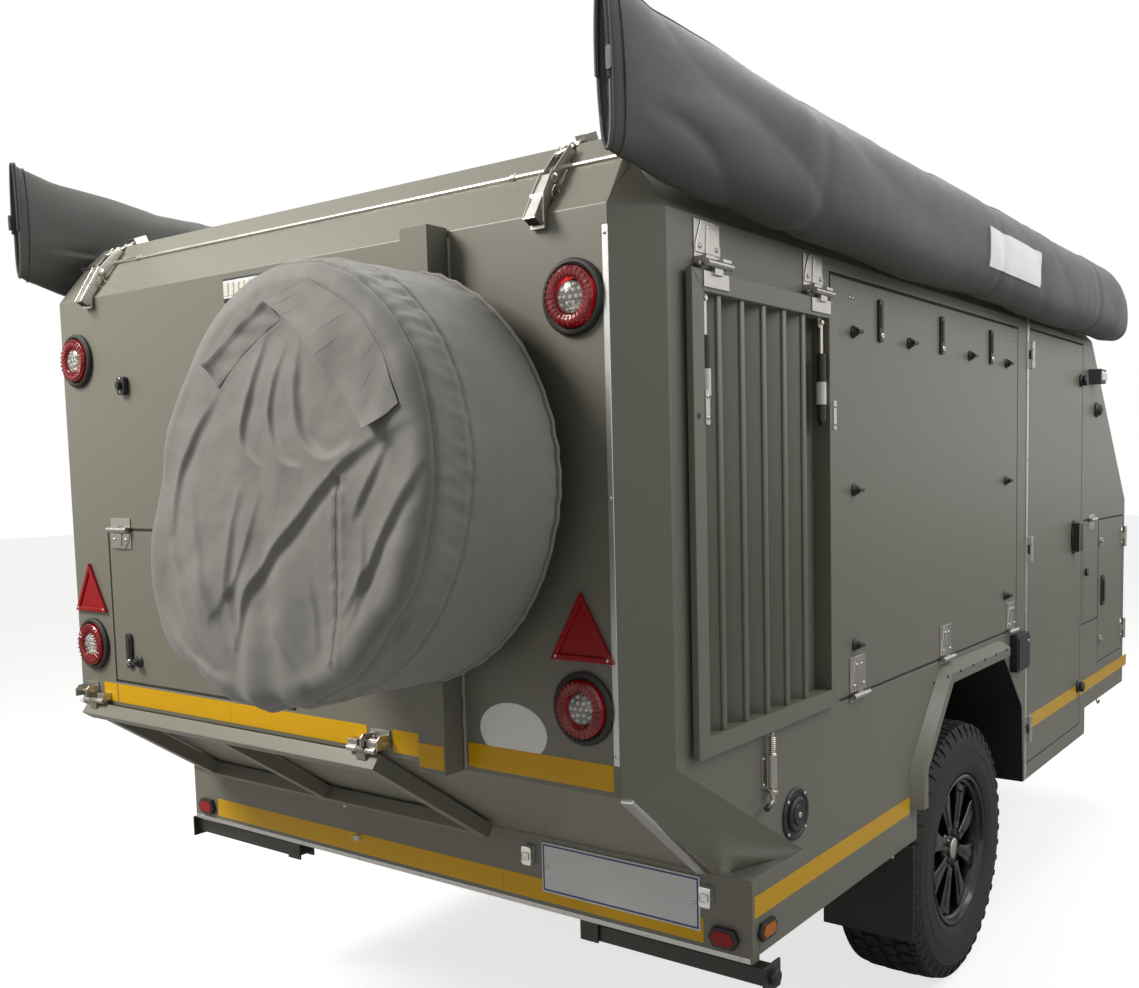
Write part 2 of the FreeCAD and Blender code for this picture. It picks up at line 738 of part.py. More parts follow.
def rim(label):
    """A dished wheel with eight spokes about the X axis, for a tyre whose outer wall is at x = 0."""
    width = "tyre_width"
    radius = "(rim_radius - 2)"
    barrel = [("-12", f"{radius} - seat_gap"), (f"12 - {width}", f"{radius} - seat_gap"),
              (f"12 - {width}", f"{radius} - 22"), ("-12", f"{radius} - 22")]
    centre = [("-48", "0"), ("-60", "62"), ("-105", "70"), ("-105", "axle_radius + running_gap"),
              ("-80", "axle_radius + running_gap"), ("-80", "0")]
    ring = revolved(label + "_barrel", barrel)
    boss = revolved(label + "_boss", centre)
    spokes = []
    for i in range(8):
        spoke = new("Part::Box", f"{label}_spoke_{i}")
        spoke.Length = 34
        spoke.Width = 44
        bind(spoke, "Height", "rim_radius - 60")
        turn = FreeCAD.Rotation(V(1, 0, 0), 45 * i)
        spoke.Placement = FreeCAD.Placement(turn.multVec(V(-92, -22, 45)), turn)
        spokes.append(spoke)
    return fuse(label, ring, boss, *spokes)


def wheels():
    for side, sign in (("right", 1), ("left", -1)):
        parts = (("tyre", tyre(f"tyre_{side}_form", cell("lug_depth"))), ("rim", rim(f"rim_{side}_form")))
        for part, thing in parts:
            moved = new("Part::Compound", f"{part}_{side}")
            moved.Links = [thing]
            if sign < 0:
                moved.Placement = FreeCAD.Placement(V(0, 0, 0), FreeCAD.Rotation(V(0, 0, 1), 180))
            place(moved, f"{sign}*tyre_outer", "wheel_station", "tyre_radius")
            node(f"{part}_{side}", moved)


def running_gear():
    """Trailing arms with stub axles, drums and springs, one set each side."""
    tyre_in = "(tyre_outer - tyre_width)"
    drum_in = f"({tyre_in} + rim_radius/2 - drum_radius/2 - 16)"
    stub = cylinder("stub", "x", (drum_in, "wheel_station", "tyre_radius"), "axle_radius",
                    f"tyre_outer - {drum_in} - 81")
    drum = cylinder("drum", "x", (drum_in, "wheel_station", "tyre_radius"), "drum_radius", "drum_width")
    arm_front = "wheel_station + arm_length"
    arm_x = ("rail_outer + 20", "half_width - arch_depth - 10")
    arm = prism("arm", "x", [("wheel_station - 50", "tyre_radius - arm_half"),
                             ("wheel_station + 60", "tyre_radius - arm_half"), (arm_front, "rail_bottom"),
                             (arm_front, "rail_bottom + 50"), ("wheel_station + 60", "tyre_radius + arm_half"),
                             ("wheel_station - 50", "tyre_radius + arm_half")], arm_x)
    bridge = cylinder("bridge", "x", (arm_x[0], "wheel_station", "tyre_radius"), "axle_radius",
                      f"{drum_in} - ({arm_x[0]})")
    pivot = cylinder("arm_pivot", "x", ("rail_outer", arm_front, "rail_bottom + 25"), "22", "rail_width + 10")
    right = fuse("arm_right", stub, drum, arm, bridge, pivot)
    node("trailing_arms", group("trailing_arms", right, mirrored("arm_left", right)))
    coil = cylinder("coil", "z", ("rail_outer + 58", "wheel_station", "tyre_radius + arm_half"), "spring_radius",
                    "rear_sill - tyre_radius - arm_half")
    node("springs", group("springs", coil, mirrored("coil_left", coil)))


def chassis():
    """Two rails on cross members, and the drawbar's two converging rails."""
    rail = box("rail_right", ("rail_outer - rail_width", "rail_outer"), ("rail_rear", "rail_front"),
               ("rail_bottom", "step_bottom"))
    node("chassis_rails", group("chassis_rails", rail, mirrored("rail_left", rail)))
    members = []
    across = ("arch_depth - half_width + 25", "half_width - arch_depth - 25")
    stations = [("rail_rear + 20", "rear_sill"), ("arch_rear - 1.5*member_width", "rear_sill"),
                ("arch_front - 1.75*member_width", "rear_sill"), ("step_front + 40", "front_sill"),
                ("front_station - 2*member_width", "front_sill")]
    for i, (station, top) in enumerate(stations):
        members.append(box(f"member_{i}", across, (station, f"{station} + member_width"), ("step_bottom", top)))
    node("cross_members", group("cross_members", *members))
    outline = [("rail_outer", "rail_front"), ("rail_outer - rail_width", "rail_front"),
               ("drawbar_end_in", "coupler_station"), ("drawbar_end_out", "coupler_station")]
    arm = prism("drawbar_right", "z", outline, ("rail_bottom", "step_bottom"))
    node("drawbar", group("drawbar", arm, mirrored("drawbar_left", arm)))


def coupler():
    """The head that drops over the tow ball, on its bed plate."""
    plate = box("bed_plate", ("-drawbar_end_out - 6", "drawbar_end_out + 6"),
                ("coupler_station - 160", "coupler_station"), ("step_bottom", "step_bottom + 8"))
    neck = box("coupler_neck", ("-32", "32"), ("coupler_station - 140", "coupler_front - 60"),
               ("step_bottom + 8", "step_bottom + 50"))
    centre = ("0", "coupler_front - coupler_radius", "step_bottom - 25")
    head = cylinder("coupler_head", "z", centre, "coupler_radius", "75")
    cup = cylinder("coupler_cup", "z", centre, "ball_radius", "ball_depth")
    node("coupler", cut("coupler", fuse("coupler_form", plate, neck, head), cup))


def jockey():
    """A tube clamped to the drawbar, a swivelling fork and a small wheel on the ground."""
    centre = ("jockey_across", "jockey_station")
    tube = cylinder("jockey_sleeve", "z", (*centre, "rail_bottom - 130"), "jockey_tube", "560")
    bore = cylinder("jockey_hollow", "z", (*centre, "rail_bottom - 140"), "jockey_bore", "400")
    lean = "(rail_outer - drawbar_end_out)/(coupler_station - rail_front)"

    def rail_edge(station):
        return f"-(drawbar_end_out + (coupler_station - ({station}))*{lean})"
    ends = ("jockey_station - 40", "jockey_station + 40")
    outline = [("jockey_across", ends[0]), (rail_edge(ends[0]), ends[0]), (rail_edge(ends[1]), ends[1]),
               ("jockey_across", ends[1])]
    clamp = prism("jockey_clamp", "z", outline, ("rail_bottom + 5", "step_bottom - 5"))
    crank = box("jockey_crank", ("jockey_across - 12", "jockey_across + 12"), ("jockey_station", "jockey_station + 120"),
                ("rail_bottom + 430", "rail_bottom + 448"))
    node("jockey_tube", cut("jockey_tube", fuse("jockey_tube_form", tube, clamp, crank), bore))
    crown_low = "(jockey_wheel_radius*2 + 8)"
    crown_high = f"({crown_low} + 12)"
    stem = cylinder("jockey_stem", "z", (*centre, crown_high), "jockey_bore - running_gap", "250")
    wheel_station = "(jockey_station - jockey_trail)"
    half = "jockey_wheel_width/2"
    cheek_in, cheek_out = f"({half} + swing_gap)", f"({half} + swing_gap + 6)"
    crown = box("fork_crown", (f"jockey_across - {cheek_out}", f"jockey_across + {cheek_out}"),
                (f"{wheel_station} - 25", "jockey_station + 25"), (crown_low, crown_high))
    cheeks = [box(f"fork_cheek_{i}", x, (f"{wheel_station} - 25", f"{wheel_station} + 25"),
                  ("jockey_wheel_radius - 25", crown_low))
              for i, x in enumerate([(f"jockey_across - {cheek_out}", f"jockey_across - {cheek_in}"),
                                     (f"jockey_across + {cheek_in}", f"jockey_across + {cheek_out}")])]
    axle = cylinder("fork_axle", "x", (f"jockey_across - {cheek_out}", wheel_station, "jockey_wheel_radius"),
                    "10", f"2*{cheek_out}")
    node("jockey_fork", fuse("jockey_fork", stem, crown, *cheeks, axle))
    roller = cylinder("jockey_roller", "x", (f"jockey_across - {half}", wheel_station, "jockey_wheel_radius"),
                      "jockey_wheel_radius", "jockey_wheel_width")
    hole = cylinder("jockey_hole", "x", (f"jockey_across - {cheek_in}", wheel_station, "jockey_wheel_radius"),
                    "10 + running_gap", f"2*{cheek_in}")
    node("jockey_wheel", cut("jockey_wheel", roller, hole))


def thirds(spot):
    """The stretches of a hinge along its pin: the two outer ones, the middle one and the whole."""
    length = "hinge_length"
    outer = [(f"{spot} - {length}/2", f"{spot} - {length}/6 - seat_gap"),
             (f"{spot} + {length}/6 + seat_gap", f"{spot} + {length}/2")]
    middle = (f"{spot} - {length}/6 + seat_gap", f"{spot} + {length}/6 - seat_gap")
    return outer, middle, (f"{spot} - {length}/2", f"{spot} + {length}/2")


def hinge(label, axis, centre, fixed, moving):
    """A hinge with its pin in the fixed half. The halves are fused from barrels and the boxes given."""
    at = {"x": 0, "y": 1, "z": 2}[axis]
    outer, middle, whole = thirds(centre[at])

    def barrel(name, run, radius):
        spot = list(centre)
        spot[at] = run[0]
        return cylinder(f"{label}_{name}", axis, spot, radius, f"{run[1]} - ({run[0]})")
    knuckles = [barrel(f"knuckle_{i}", run, "barrel_radius") for i, run in enumerate(outer)]
    pin = barrel("pin", whole, "pin_radius")
    leaves = [box(f"{label}_fixed_{i}", *sides) for i, sides in enumerate(fixed)]
    flaps = [box(f"{label}_moving_{i}", *sides) for i, sides in enumerate(moving)]
    hole = barrel("hole", whole, "pin_radius + running_gap")
    still = fuse(f"{label}_fixed", *knuckles, pin, *leaves)
    turning = fuse(f"{label}_turning", barrel("middle", middle, "barrel_radius"), *flaps)
    return still, cut(f"{label}_moving", turning, hole)


def face_hinge(label, along, spot, axis_at, sense, foot, leaf):
    """A hinge on the right side wall. along is y or z, spot its middle, axis_at the barrel's place across it.
    sense is 1 where the moving leaf lies on the plus side of the barrel."""
    out = "half_width + hinge_stand"
    face = ("half_width", "half_width + leaf_thick")
    web = ("half_width", out)
    outer, middle, whole = thirds(spot)

    def strip(direction, near, far):
        values = (f"{axis_at} + {direction}*({near})", f"{axis_at} + {direction}*({far})")
        return values if direction > 0 else values[::-1]

    def sides(x, run, cross):
        return (x, run, cross) if along == "y" else (x, cross, run)
    fixed = [sides(web, end, strip(-sense, "0", "hinge_web")) for end in outer]
    fixed.append(sides(face, whole, strip(-sense, "hinge_web", foot)))
    moving = [sides(web, middle, strip(sense, "0", "hinge_web")), sides(face, whole, strip(sense, "hinge_web", leaf))]
    centre = (out, spot, axis_at) if along == "y" else (out, axis_at, spot)
    return hinge(label, along, centre, fixed, moving)


def louvre_hatch():
    """A frame that stands proud of the wall, with upright slats turned in it, and its top hinges."""
    face = "half_width + louvre_proud"
    x = (f"{face} - louvre_thick", face)
    outer = box("louvre_outer", x, ("louvre_rear", "louvre_front"), ("louvre_low", "louvre_high"))
    inside = box("louvre_inside", (f"{x[0]} - {PAST}", f"{x[1]} + {PAST}"),
                 ("louvre_rear + louvre_member", "louvre_front - louvre_member"),
                 ("louvre_low + louvre_member", "louvre_high - louvre_member"))
    frame = cut("louvre_frame", outer, inside)
    slats = []
    count = int(cell("slat_count"))
    sunk = "4"
    for i in range(count):
        slat = new("Part::Box", f"slat_{i}")
        bind(slat, "Length", "slat_thick")
        bind(slat, "Width", "slat_width")
        bind(slat, "Height", f"louvre_high - louvre_low - 2*louvre_member + 2*{sunk}")
        slat.Placement = FreeCAD.Placement(V(0, 0, 0), FreeCAD.Rotation(V(0, 0, 1), cell("slat_turn")))
        pitch = f"(louvre_front - louvre_rear - 2*louvre_member)/{count}"
        place(slat, f"{face} - slat_thick - 2", f"louvre_rear + louvre_member + {pitch}*{i} + 2",
              f"louvre_low + louvre_member - {sunk}")
        slats.append(slat)
    right = node("louvre_hatch_right", fuse("louvre_hatch_right", frame, *slats))
    node("louvre_hatch_left", mirrored("louvre_hatch_left", right))
    still, turning = [], []
    axis_x, axis_z = f"{face} + louvre_pin_out", "(louvre_high + louvre_pin_up)"
    for i, spot in enumerate(("louvre_rear + louvre_hinge_in", "louvre_front - louvre_hinge_in")):
        ends, middle, whole = thirds(spot)
        fixed = [(("half_width", axis_x), end, (axis_z, f"{axis_z} + 14")) for end in ends]
        fixed.append((("half_width", "half_width + leaf_thick"), whole, (f"{axis_z} + 10", f"{axis_z} + louvre_leaf")))
        moving = [((face, axis_x), middle, (f"{axis_z} - 20", axis_z)),
                  ((face, f"{face} + leaf_thick"), whole, (f"{axis_z} - louvre_tongue", f"{axis_z} - 14"))]
        pair = hinge(f"louvre_hinge_{i}", "y", (axis_x, spot, axis_z), fixed, moving)
        still.append(pair[0])
        turning.append(pair[1])
    return still, turning


def both_sides(label, pieces):
    """The same set of pieces on each side, as one node a side."""
    right = node(f"{label}_right", group(f"{label}_right", *pieces))
    return right, node(f"{label}_left", mirrored(f"{label}_left", right))


def rear_hinges():
    """The rear hatch's two hinges, on its top edge."""
    pairs = []
    out, axis_z = "-hinge_stand", "rear_hatch_high + swing_gap/2"
    skin = ("-leaf_thick", "0")
    for i, spot in enumerate(("rear_hatch_left + rear_hinge_in", "rear_hatch_right - rear_hinge_in")):
        ends, middle, whole = thirds(spot)
        fixed = [(end, (out, "0"), (axis_z, f"{axis_z} + hinge_web")) for end in ends]
        fixed.append((whole, skin, (f"{axis_z} + hinge_web", f"{axis_z} + 30")))
        moving = [(middle, (out, "0"), (f"{axis_z} - hinge_web", axis_z)),
                  (whole, skin, (f"{axis_z} - 50", f"{axis_z} - hinge_web"))]
        pairs.append(hinge(f"rear_hinge_{i}", "x", (spot, out, axis_z), fixed, moving))
    return pairs


def hinges():
    """Every hinge of the side hatches, the door and the rear hatch, and the door's handle."""
    still, turning = louvre_hatch()
    both_sides("louvre_hinges", turning)
    kitchen_spots = ("kitchen_rear + kitchen_hinge_rear", "(kitchen_rear + kitchen_front)/2 + kitchen_hinge_shift",
                     "kitchen_front - kitchen_hinge_front")
    kitchen = [face_hinge(f"kitchen_hinge_{i}", "y", spot, "kitchen_low - swing_gap/2", 1, "14", "kitchen_leaf")
               for i, spot in enumerate(kitchen_spots)]
    both_sides("kitchen_hinges", [pair[1] for pair in kitchen])
    nose = [face_hinge(f"nose_hinge_{i}", "z", spot, "nose_front + swing_gap/2", -1, "20", "40")
            for i, spot in enumerate(("nose_low + nose_hinge_in", "nose_high - nose_hinge_in"))]
    both_sides("nose_hinges", [pair[1] for pair in nose])
    still += [pair[0] for pair in kitchen + nose]
    door_spots = ("door_low + door_hinge_low", "(door_low + door_high)/2", "door_high - door_hinge_high")
    door = [face_hinge(f"door_hinge_{i}", "z", spot, "door_rear - swing_gap/2", 1, "20", "45")
            for i, spot in enumerate(door_spots)]
    handle = box("door_handle", ("half_width", "half_width + handle_out"),
                 ("door_front - handle_in - handle_width", "door_front - handle_in"),
                 ("handle_low", "handle_low + handle_height"))
    node("door_fittings", group("door_fittings", handle, *[pair[1] for pair in door]))
    locker = face_hinge("locker_hinge", "y", "(locker_rear + locker_front)/2", "locker_high + swing_gap/2",
                        -1, "20", "40")
    node("locker_hinge", locker[1])
    rear = rear_hinges()
    node("rear_hatch_hinges", group("rear_hatch_hinges", *[pair[1] for pair in rear]))
    right = group("still_right", *still)
    single = [pair[0] for pair in door + rear] + [locker[0]] + rear_rack()
    node("fixed_hinges", group("fixed_hinges", right, mirrored("still_left", right), *single))


def rear_rack():
    """A folding rack of square tube, stowed against the undercut and hung from two hinges at its top bar."""
    tube = "rack_tube"
    lift = "-2"

    def bar(label, x, y):
        thing = new("Part::Box", label)
        bind(thing, "Length", f"({x[1]}) - ({x[0]})")
        bind(thing, "Width", f"({y[1]}) - ({y[0]})")
        bind(thing, "Height", tube)
        bind(thing, "Placement.Base.x", x[0])
        bind(thing, "Placement.Base.y", y[0])
        bind(thing, "Placement.Base.z", f"{lift} - {tube}")
        return thing
    across = ("rack_left", "rack_right")
    bars = [bar("rack_top", across, ("12", f"{tube} + 12")),
            bar("rack_low", across, (f"rack_reach - {tube}", "rack_reach"))]
    for i, left in enumerate(("rack_left + 70", f"(rack_left + rack_right - {tube})/2", f"rack_right - {tube}")):
        bars.append(bar(f"rack_beam_{i}", (left, f"{left} + {tube}"), ("22", "rack_reach - 10")))
    rack = fuse("rack_bars", *bars)
    moved = new("Part::Compound", "rack_stowed")
    moved.Links = [rack]
    moved.Placement = FreeCAD.Placement(V(0, 0, 0), FreeCAD.Rotation(V(-1, 0, 0), 30))
    bind(moved, "Placement.Rotation.Angle", "rack_lean")
    place(moved, "0", "rack_axis_station", "rack_axis_height")
    still, turning = [], []
    for i, spot in enumerate(("rack_left + hinge_length/2", "rack_right - hinge_length/2")):
        ends, middle, _ = thirds(spot)
        fixed = [(end, ("rack_axis_station", "0"), ("rack_axis_height", "rack_axis_height + 20")) for end in ends]
        moving = [(middle, ("rack_axis_station - 4", "rack_axis_station + 14"),
                   ("rack_axis_height - 22", "rack_axis_height"))]
        pair = hinge(f"rack_hinge_{i}", "x", (spot, "rack_axis_station", "rack_axis_height"), fixed, moving)
        still.append(pair[0])
        turning.append(pair[1])
    node("rear_rack", fuse("rear_rack", moved, *turning))
    return still


def steadies():
    """Corner steadies: legs that swing down from brackets under the floor."""
    half = "steady_tube/2"
    leg = box("steady_leg", ("steady_pivot", "steady_pivot + steady_reach"),
              (f"steady_station - {half}", f"steady_station + {half}"),
              (f"steady_height - {half}", f"steady_height + {half}"))
    end = cylinder("steady_end", "y", ("steady_pivot", f"steady_station - {half}", "steady_height"), half,
                   "steady_tube")
    foot = box("steady_foot", ("steady_pivot + steady_reach", "steady_pivot + steady_reach + 6"),
               ("steady_station - 35", "steady_station + 35"), ("steady_height - 32", "steady_height + 28"))
    hole = cylinder("steady_hole", "y", ("steady_pivot", "steady_station - steady_tube", "steady_height"),
                    "8 + running_gap", "2*steady_tube")
    both_sides("steady", [cut("steady_form", fuse("steady_solid", leg, end, foot), hole)])
    pin = cylinder("steady_pin", "y", ("steady_pivot", f"steady_station - {half} - 8", "steady_height"), "8",
                   "steady_tube + 16")
    cheeks = [box(f"steady_cheek_{i}", ("steady_pivot - 26", "steady_pivot + 26"), y,
                  ("steady_height - 22", "rear_sill"))
              for i, y in enumerate([(f"steady_station - {half} - 7", f"steady_station - {half} - 1"),
                                     (f"steady_station + {half} + 1", f"steady_station + {half} + 7")])]
    bumper_relief = box("steady_relief", ("0", "half_width"), (f"bumper_station - {PAST}", "bumper_station + wall"),
                        ("bumper_bottom", f"rear_sill + {PAST}"))
    bracket = cut("steady_bracket", fuse("steady_bracket_form", pin, *cheeks), bumper_relief)
    node("steady_brackets", group("steady_brackets", bracket, mirrored("steady_bracket_left", bracket)))


def spare():
    """The spare wheel on its post, under a cloth cover that sags rearwards at its foot."""
    post = box("post", ("post_left", "post_right"), ("-post_depth", "0"), ("post_bottom", "post_top"))
    plate = box("carrier_plate", ("spare_centre - 60", "post_right"), ("cover_front", "-post_depth"),
                ("spare_height - 90", "spare_height + 90"))
    hub_rear = "(cover_front - spare_gap - tyre_width + 81)"
    hub = cylinder("carrier_hub", "y", ("spare_centre", hub_rear, "spare_height"), "axle_radius",
                   f"cover_front - {hub_rear}")
    node("spare_post", fuse("spare_post", post, plate, hub))
    wheel = new("Part::Compound", "spare_wheel_form")
    wheel.Links = [tyre("spare_tyre_form", 0), rim("spare_rim_form")]
    wheel.Placement = FreeCAD.Placement(V(0, 0, 0), FreeCAD.Rotation(V(0, 0, 1), -90))
    place(wheel, "spare_centre", "cover_front - spare_gap - tyre_width", "spare_height")
    node("spare_wheel", wheel)
    inner = "tyre_radius + seat_gap"
    outer = f"{inner} + cover_cloth"
    low, high = f"spare_height - ({outer})", f"spare_height + {outer}"

    def drum(name, radius, inset, front):
        lean = [(front, low), (f"cover_rear_low + {inset}", low), (f"cover_rear_high + {inset}", high),
                (front, high)]
        form = prism(f"{name}_lean", "x", lean, ("spare_centre - 2*tyre_radius", "spare_centre + 2*tyre_radius"))
        tube = cylinder(f"{name}_tube", "y", ("spare_centre", f"cover_rear_low - {PAST}", "spare_height"), radius,
                        f"cover_front - cover_rear_low + 3*{PAST}")
        return common(name, form, tube)
    node("spare_cover", cut("spare_cover", drum("cover_outer", outer, "0", "cover_front"),
                            drum("cover_inner", inner, "cover_cloth", f"cover_front + {PAST}")))


def rear_fittings():
    """Round lamps, triangles, reflectors, work lamp and the plate."""
    lamps = []
    for i, height in enumerate(("lamp_low", "lamp_high")):
        lamps.append(cylinder(f"lamp_{i}", "y", ("lamp_across", "-lamp_depth", height), "lamp_radius", "lamp_depth"))
    right = group("lamps_right", *lamps)
    node("tail_lamps", group("tail_lamps", right, mirrored("lamps_left", right)))
    half = "triangle_side/2"
    outline = [(f"lamp_across - {half}", "triangle_low"), (f"lamp_across + {half}", "triangle_low"),
               ("lamp_across", "triangle_high")]
    triangle = prism("triangle", "y", outline, ("-triangle_depth", "0"))
    marker_in = "half_width - marker_inset - marker_width/2"
    marker = box("bumper_marker", (marker_in, f"{marker_in} + marker_width"),
                 ("bumper_station - marker_depth", "bumper_station"), ("marker_low", "marker_low + marker_height"))
    reflectors = group("reflectors_right", triangle, marker)
    node("reflectors", group("reflectors", reflectors, mirrored("reflectors_left", reflectors)))
    plate = box("plate", ("plate_left", "plate_right"), ("bumper_station - plate_depth", "bumper_station"),
                ("plate_low", "plate_high"))
    node("number_plate", plate)
    work_top = "crease - work_lamp_drop"
    node("work_lamp", box("work_lamp", ("work_lamp_left", "work_lamp_right"), ("-work_lamp_depth", "0"),
                          (f"{work_top} - work_lamp_height", work_top)))


def mud_flaps():
    station = "arch_rear - flap_behind"
    flap = box("mud_flap", ("flap_inner", "half_width + 20"), (station, f"{station} + flap_thick"),
               ("flap_bottom", "rear_sill"))
    node("mud_flaps", group("mud_flaps", flap, mirrored("mud_flap_left", flap)))


# The awning bag's section, and its flattened rear end, as points out from half_width and up from roof_split.
BAG = [(-55, 9), (-90, 65), (-90, 149), (-35, 187), (55, 172), (118, 107), (132, 7), (115, -68), (60, -97),
       (-5, -68)]
PINCH = [(-22, 27), (-24, 77), (-24, 167), (-18, 249), (-10, 253), (-4, 187), (0, 77), (-2, 7), (-10, -25),
         (-18, -13)]
BAG_INNER = "half_width - 90 - seat_gap"


def roof_bar():
    """The bar along the rear facet of the roof, with its two clamps."""
    run, rise = cell("crest_in"), cell("facet_rise")
    slant = math.hypot(run, rise)
    height = cell("roof_split") + 9
    stand = cell("rod_radius") + cell("seat_gap")
    station = (height - cell("crease")) * run / rise - stand * rise / slant
    level = height + stand * run / slant
    half, across = cell("rod_half"), cell("clamp_across")
    rod = Part.makeCylinder(cell("rod_radius"), 2 * half, V(-half, station, level), V(1, 0, 0))
    up = V(0, run / slant, rise / slant)
    out = V(0, -rise / slant, run / slant)
    clamp_width, clamp_depth, clamp_length = 34, 12, 150
    clamps = []
    for side in (-1, 1):
        base = V(side * across - clamp_width / 2, station, level) + out * 7 - up * 80
        block = Part.makeBox(clamp_width, clamp_depth, clamp_length, base)
        block.rotate(base, V(1, 0, 0), -math.degrees(math.atan2(run, rise)))
        clamps.append(block)
    node("roof_bar", shape("roof_bar", rod.fuse(clamps)))


def awnings():
    """The awning bags, lofted between sections, and the brackets that hold them."""
    half, split = cell("half_width"), cell("roof_split")

    def ring(station, corners, drop=0, squeeze=1.0):
        points = [V(half + x * squeeze, station, split + z - drop) for x, z in corners]
        return Part.makePolygon(points + points[:1])
    rear, front = cell("bag_rear"), cell("bag_front")
    rings = [ring(rear, PINCH), ring(rear + 480, BAG), ring(front - 260, BAG), ring(front, BAG, 12, 0.8)]
    bag = shape("awning_bag_right", Part.makeLoft(rings, True, True))
    node("awning_bag_right", bag)
    node("awning_bag_left", mirrored("awning_bag_left", bag))
    brackets = []
    spread = "(bag_front - bag_rear)"
    for i, share in enumerate(("1/6", "1/2", "5/6")):
        station = (f"bag_rear + {spread}*{share}", f"bag_rear + {spread}*{share} + 50")
        foot = box(f"bracket_foot_{i}", (f"{BAG_INNER} - 110", BAG_INNER), station, ("crest", "crest + 6"))
        riser = box(f"bracket_riser_{i}", (f"{BAG_INNER} - 6", BAG_INNER), station, ("crest", "roof_split + 140"))
        brackets.append(fuse(f"bracket_{i}", foot, riser))
    right = group("brackets_right", *brackets)
    node("awning_brackets", group("awning_brackets", right, mirrored("brackets_left", right)))


def roof_vent():
    rear = "front_station - vent_behind_front"
    node("roof_vent", box("roof_vent", ("-vent_side/2", "vent_side/2"), (f"{rear} - vent_side", rear),
                          ("crest", "crest + vent_height")))


def check_document():
    """Stops where an object failed or a sub-part has no valid shape."""
    failed = [thing.Label for thing in doc.Objects if "Invalid" in thing.State or "Error" in thing.State]
    if failed:
        raise RuntimeError(f"objects that failed: {failed}")
    bad = [thing.Label for thing in NODES if thing.Shape.isNull() or not thing.Shape.isValid()]
    if bad:
        raise RuntimeError(f"sub-parts with no valid shape: {bad}")


wheel_boxes(panels())
flares()
wheels()
running_gear()
chassis()
coupler()
jockey()
hinges()
steadies()
spare()
rear_fittings()
mud_flaps()
roof_bar()
awnings()
roof_vent()
doc.recompute()
check_document()
os.makedirs("parts", exist_ok=True)
for thing in NODES:
    thing.Shape.exportStep(f"parts/{thing.Label}.step")
    print(thing.Label, len(thing.Shape.Solids), round(thing.Shape.Volume / 1e6, 3))
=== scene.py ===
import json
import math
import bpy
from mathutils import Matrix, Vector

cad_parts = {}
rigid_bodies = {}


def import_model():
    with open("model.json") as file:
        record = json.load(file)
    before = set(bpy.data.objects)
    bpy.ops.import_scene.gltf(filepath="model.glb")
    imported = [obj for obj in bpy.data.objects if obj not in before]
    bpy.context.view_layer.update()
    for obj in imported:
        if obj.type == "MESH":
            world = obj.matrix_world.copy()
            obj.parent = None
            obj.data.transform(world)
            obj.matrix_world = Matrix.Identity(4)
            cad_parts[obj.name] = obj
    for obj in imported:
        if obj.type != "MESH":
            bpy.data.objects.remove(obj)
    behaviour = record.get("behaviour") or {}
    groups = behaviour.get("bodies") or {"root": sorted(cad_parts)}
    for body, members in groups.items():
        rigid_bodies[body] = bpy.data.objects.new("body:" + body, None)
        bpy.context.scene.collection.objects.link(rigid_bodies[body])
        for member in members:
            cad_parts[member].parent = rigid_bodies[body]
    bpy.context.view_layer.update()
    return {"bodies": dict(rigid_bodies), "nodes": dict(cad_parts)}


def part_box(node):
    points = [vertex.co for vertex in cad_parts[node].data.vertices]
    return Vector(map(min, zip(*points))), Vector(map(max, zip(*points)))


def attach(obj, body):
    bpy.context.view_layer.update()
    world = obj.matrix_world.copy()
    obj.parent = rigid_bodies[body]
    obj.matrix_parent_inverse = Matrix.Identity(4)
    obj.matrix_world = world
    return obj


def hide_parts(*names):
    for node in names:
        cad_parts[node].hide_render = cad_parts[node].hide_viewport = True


bl_info = {
    "name": "Off-road caravan",
    "version": (1, 0, 0),
    "blender": (4, 5, 0),
    "location": "View3D > Sidebar > Caravan",
    "description": "Dresses the caravan's frame with its panels, fittings, wheels, cloth and finishes",
    "category": "Object",
}

import bmesh
import bpy
import numpy as np
from mathutils import Matrix, Vector, noise
from mathutils.bvhtree import BVHTree

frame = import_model()
NODES = frame["nodes"]
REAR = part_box("rear_wall")[0].y
SIDES = ((1, "right"), (-1, "left"))
BODIES = frame["bodies"]

# Forms are made in millimetres: across, forward of the rear panel, and up from the ground.


def to_frame(point):
    """A point of a form as a point of the frame, in metres."""
    return Vector((point[0] / 1000, REAR + point[1] / 1000, point[2] / 1000))


def cad(node):
    """A node's lowest and highest corners in the units of a form."""
    return tuple(Vector((c.x * 1000, (c.y - REAR) * 1000, c.z * 1000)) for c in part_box(node))


HALF = cad("right_wall")[1].x
SPLIT = cad("roof_cap")[0].z
FRONT = cad("front_wall")[1].y


def seat(origin, along, up):
    """A place with local X along one direction, local Y up another, and local Z out of the face."""
    x = Vector(along).normalized()
    z = x.cross(Vector(up)).normalized()
    y = z.cross(x)
    turn = Matrix((x, y, z)).transposed().to_4x4()
    return Matrix.Translation(Vector(origin)) @ turn


def facing_right(point):
    """A place at a point that faces right, local X forward and local Y up."""
    return seat(point, (0, 1, 0), (0, 0, 1))


def facing_rear(point):
    """A place at a point that faces the rear, local X to the right and local Y up."""
    return seat(point, (1, 0, 0), (0, 0, 1))


def on_side(station, height, out=0.0):
    """A place on the right side wall, local X forward and local Y up."""
    return facing_right((HALF + out, station, height))


def on_rear(across, height, out=0.0, station=0.0):
    """A place on the rear panel, or on the bumper, local X to the right and local Y up."""
    return facing_rear((across, station - out, height))


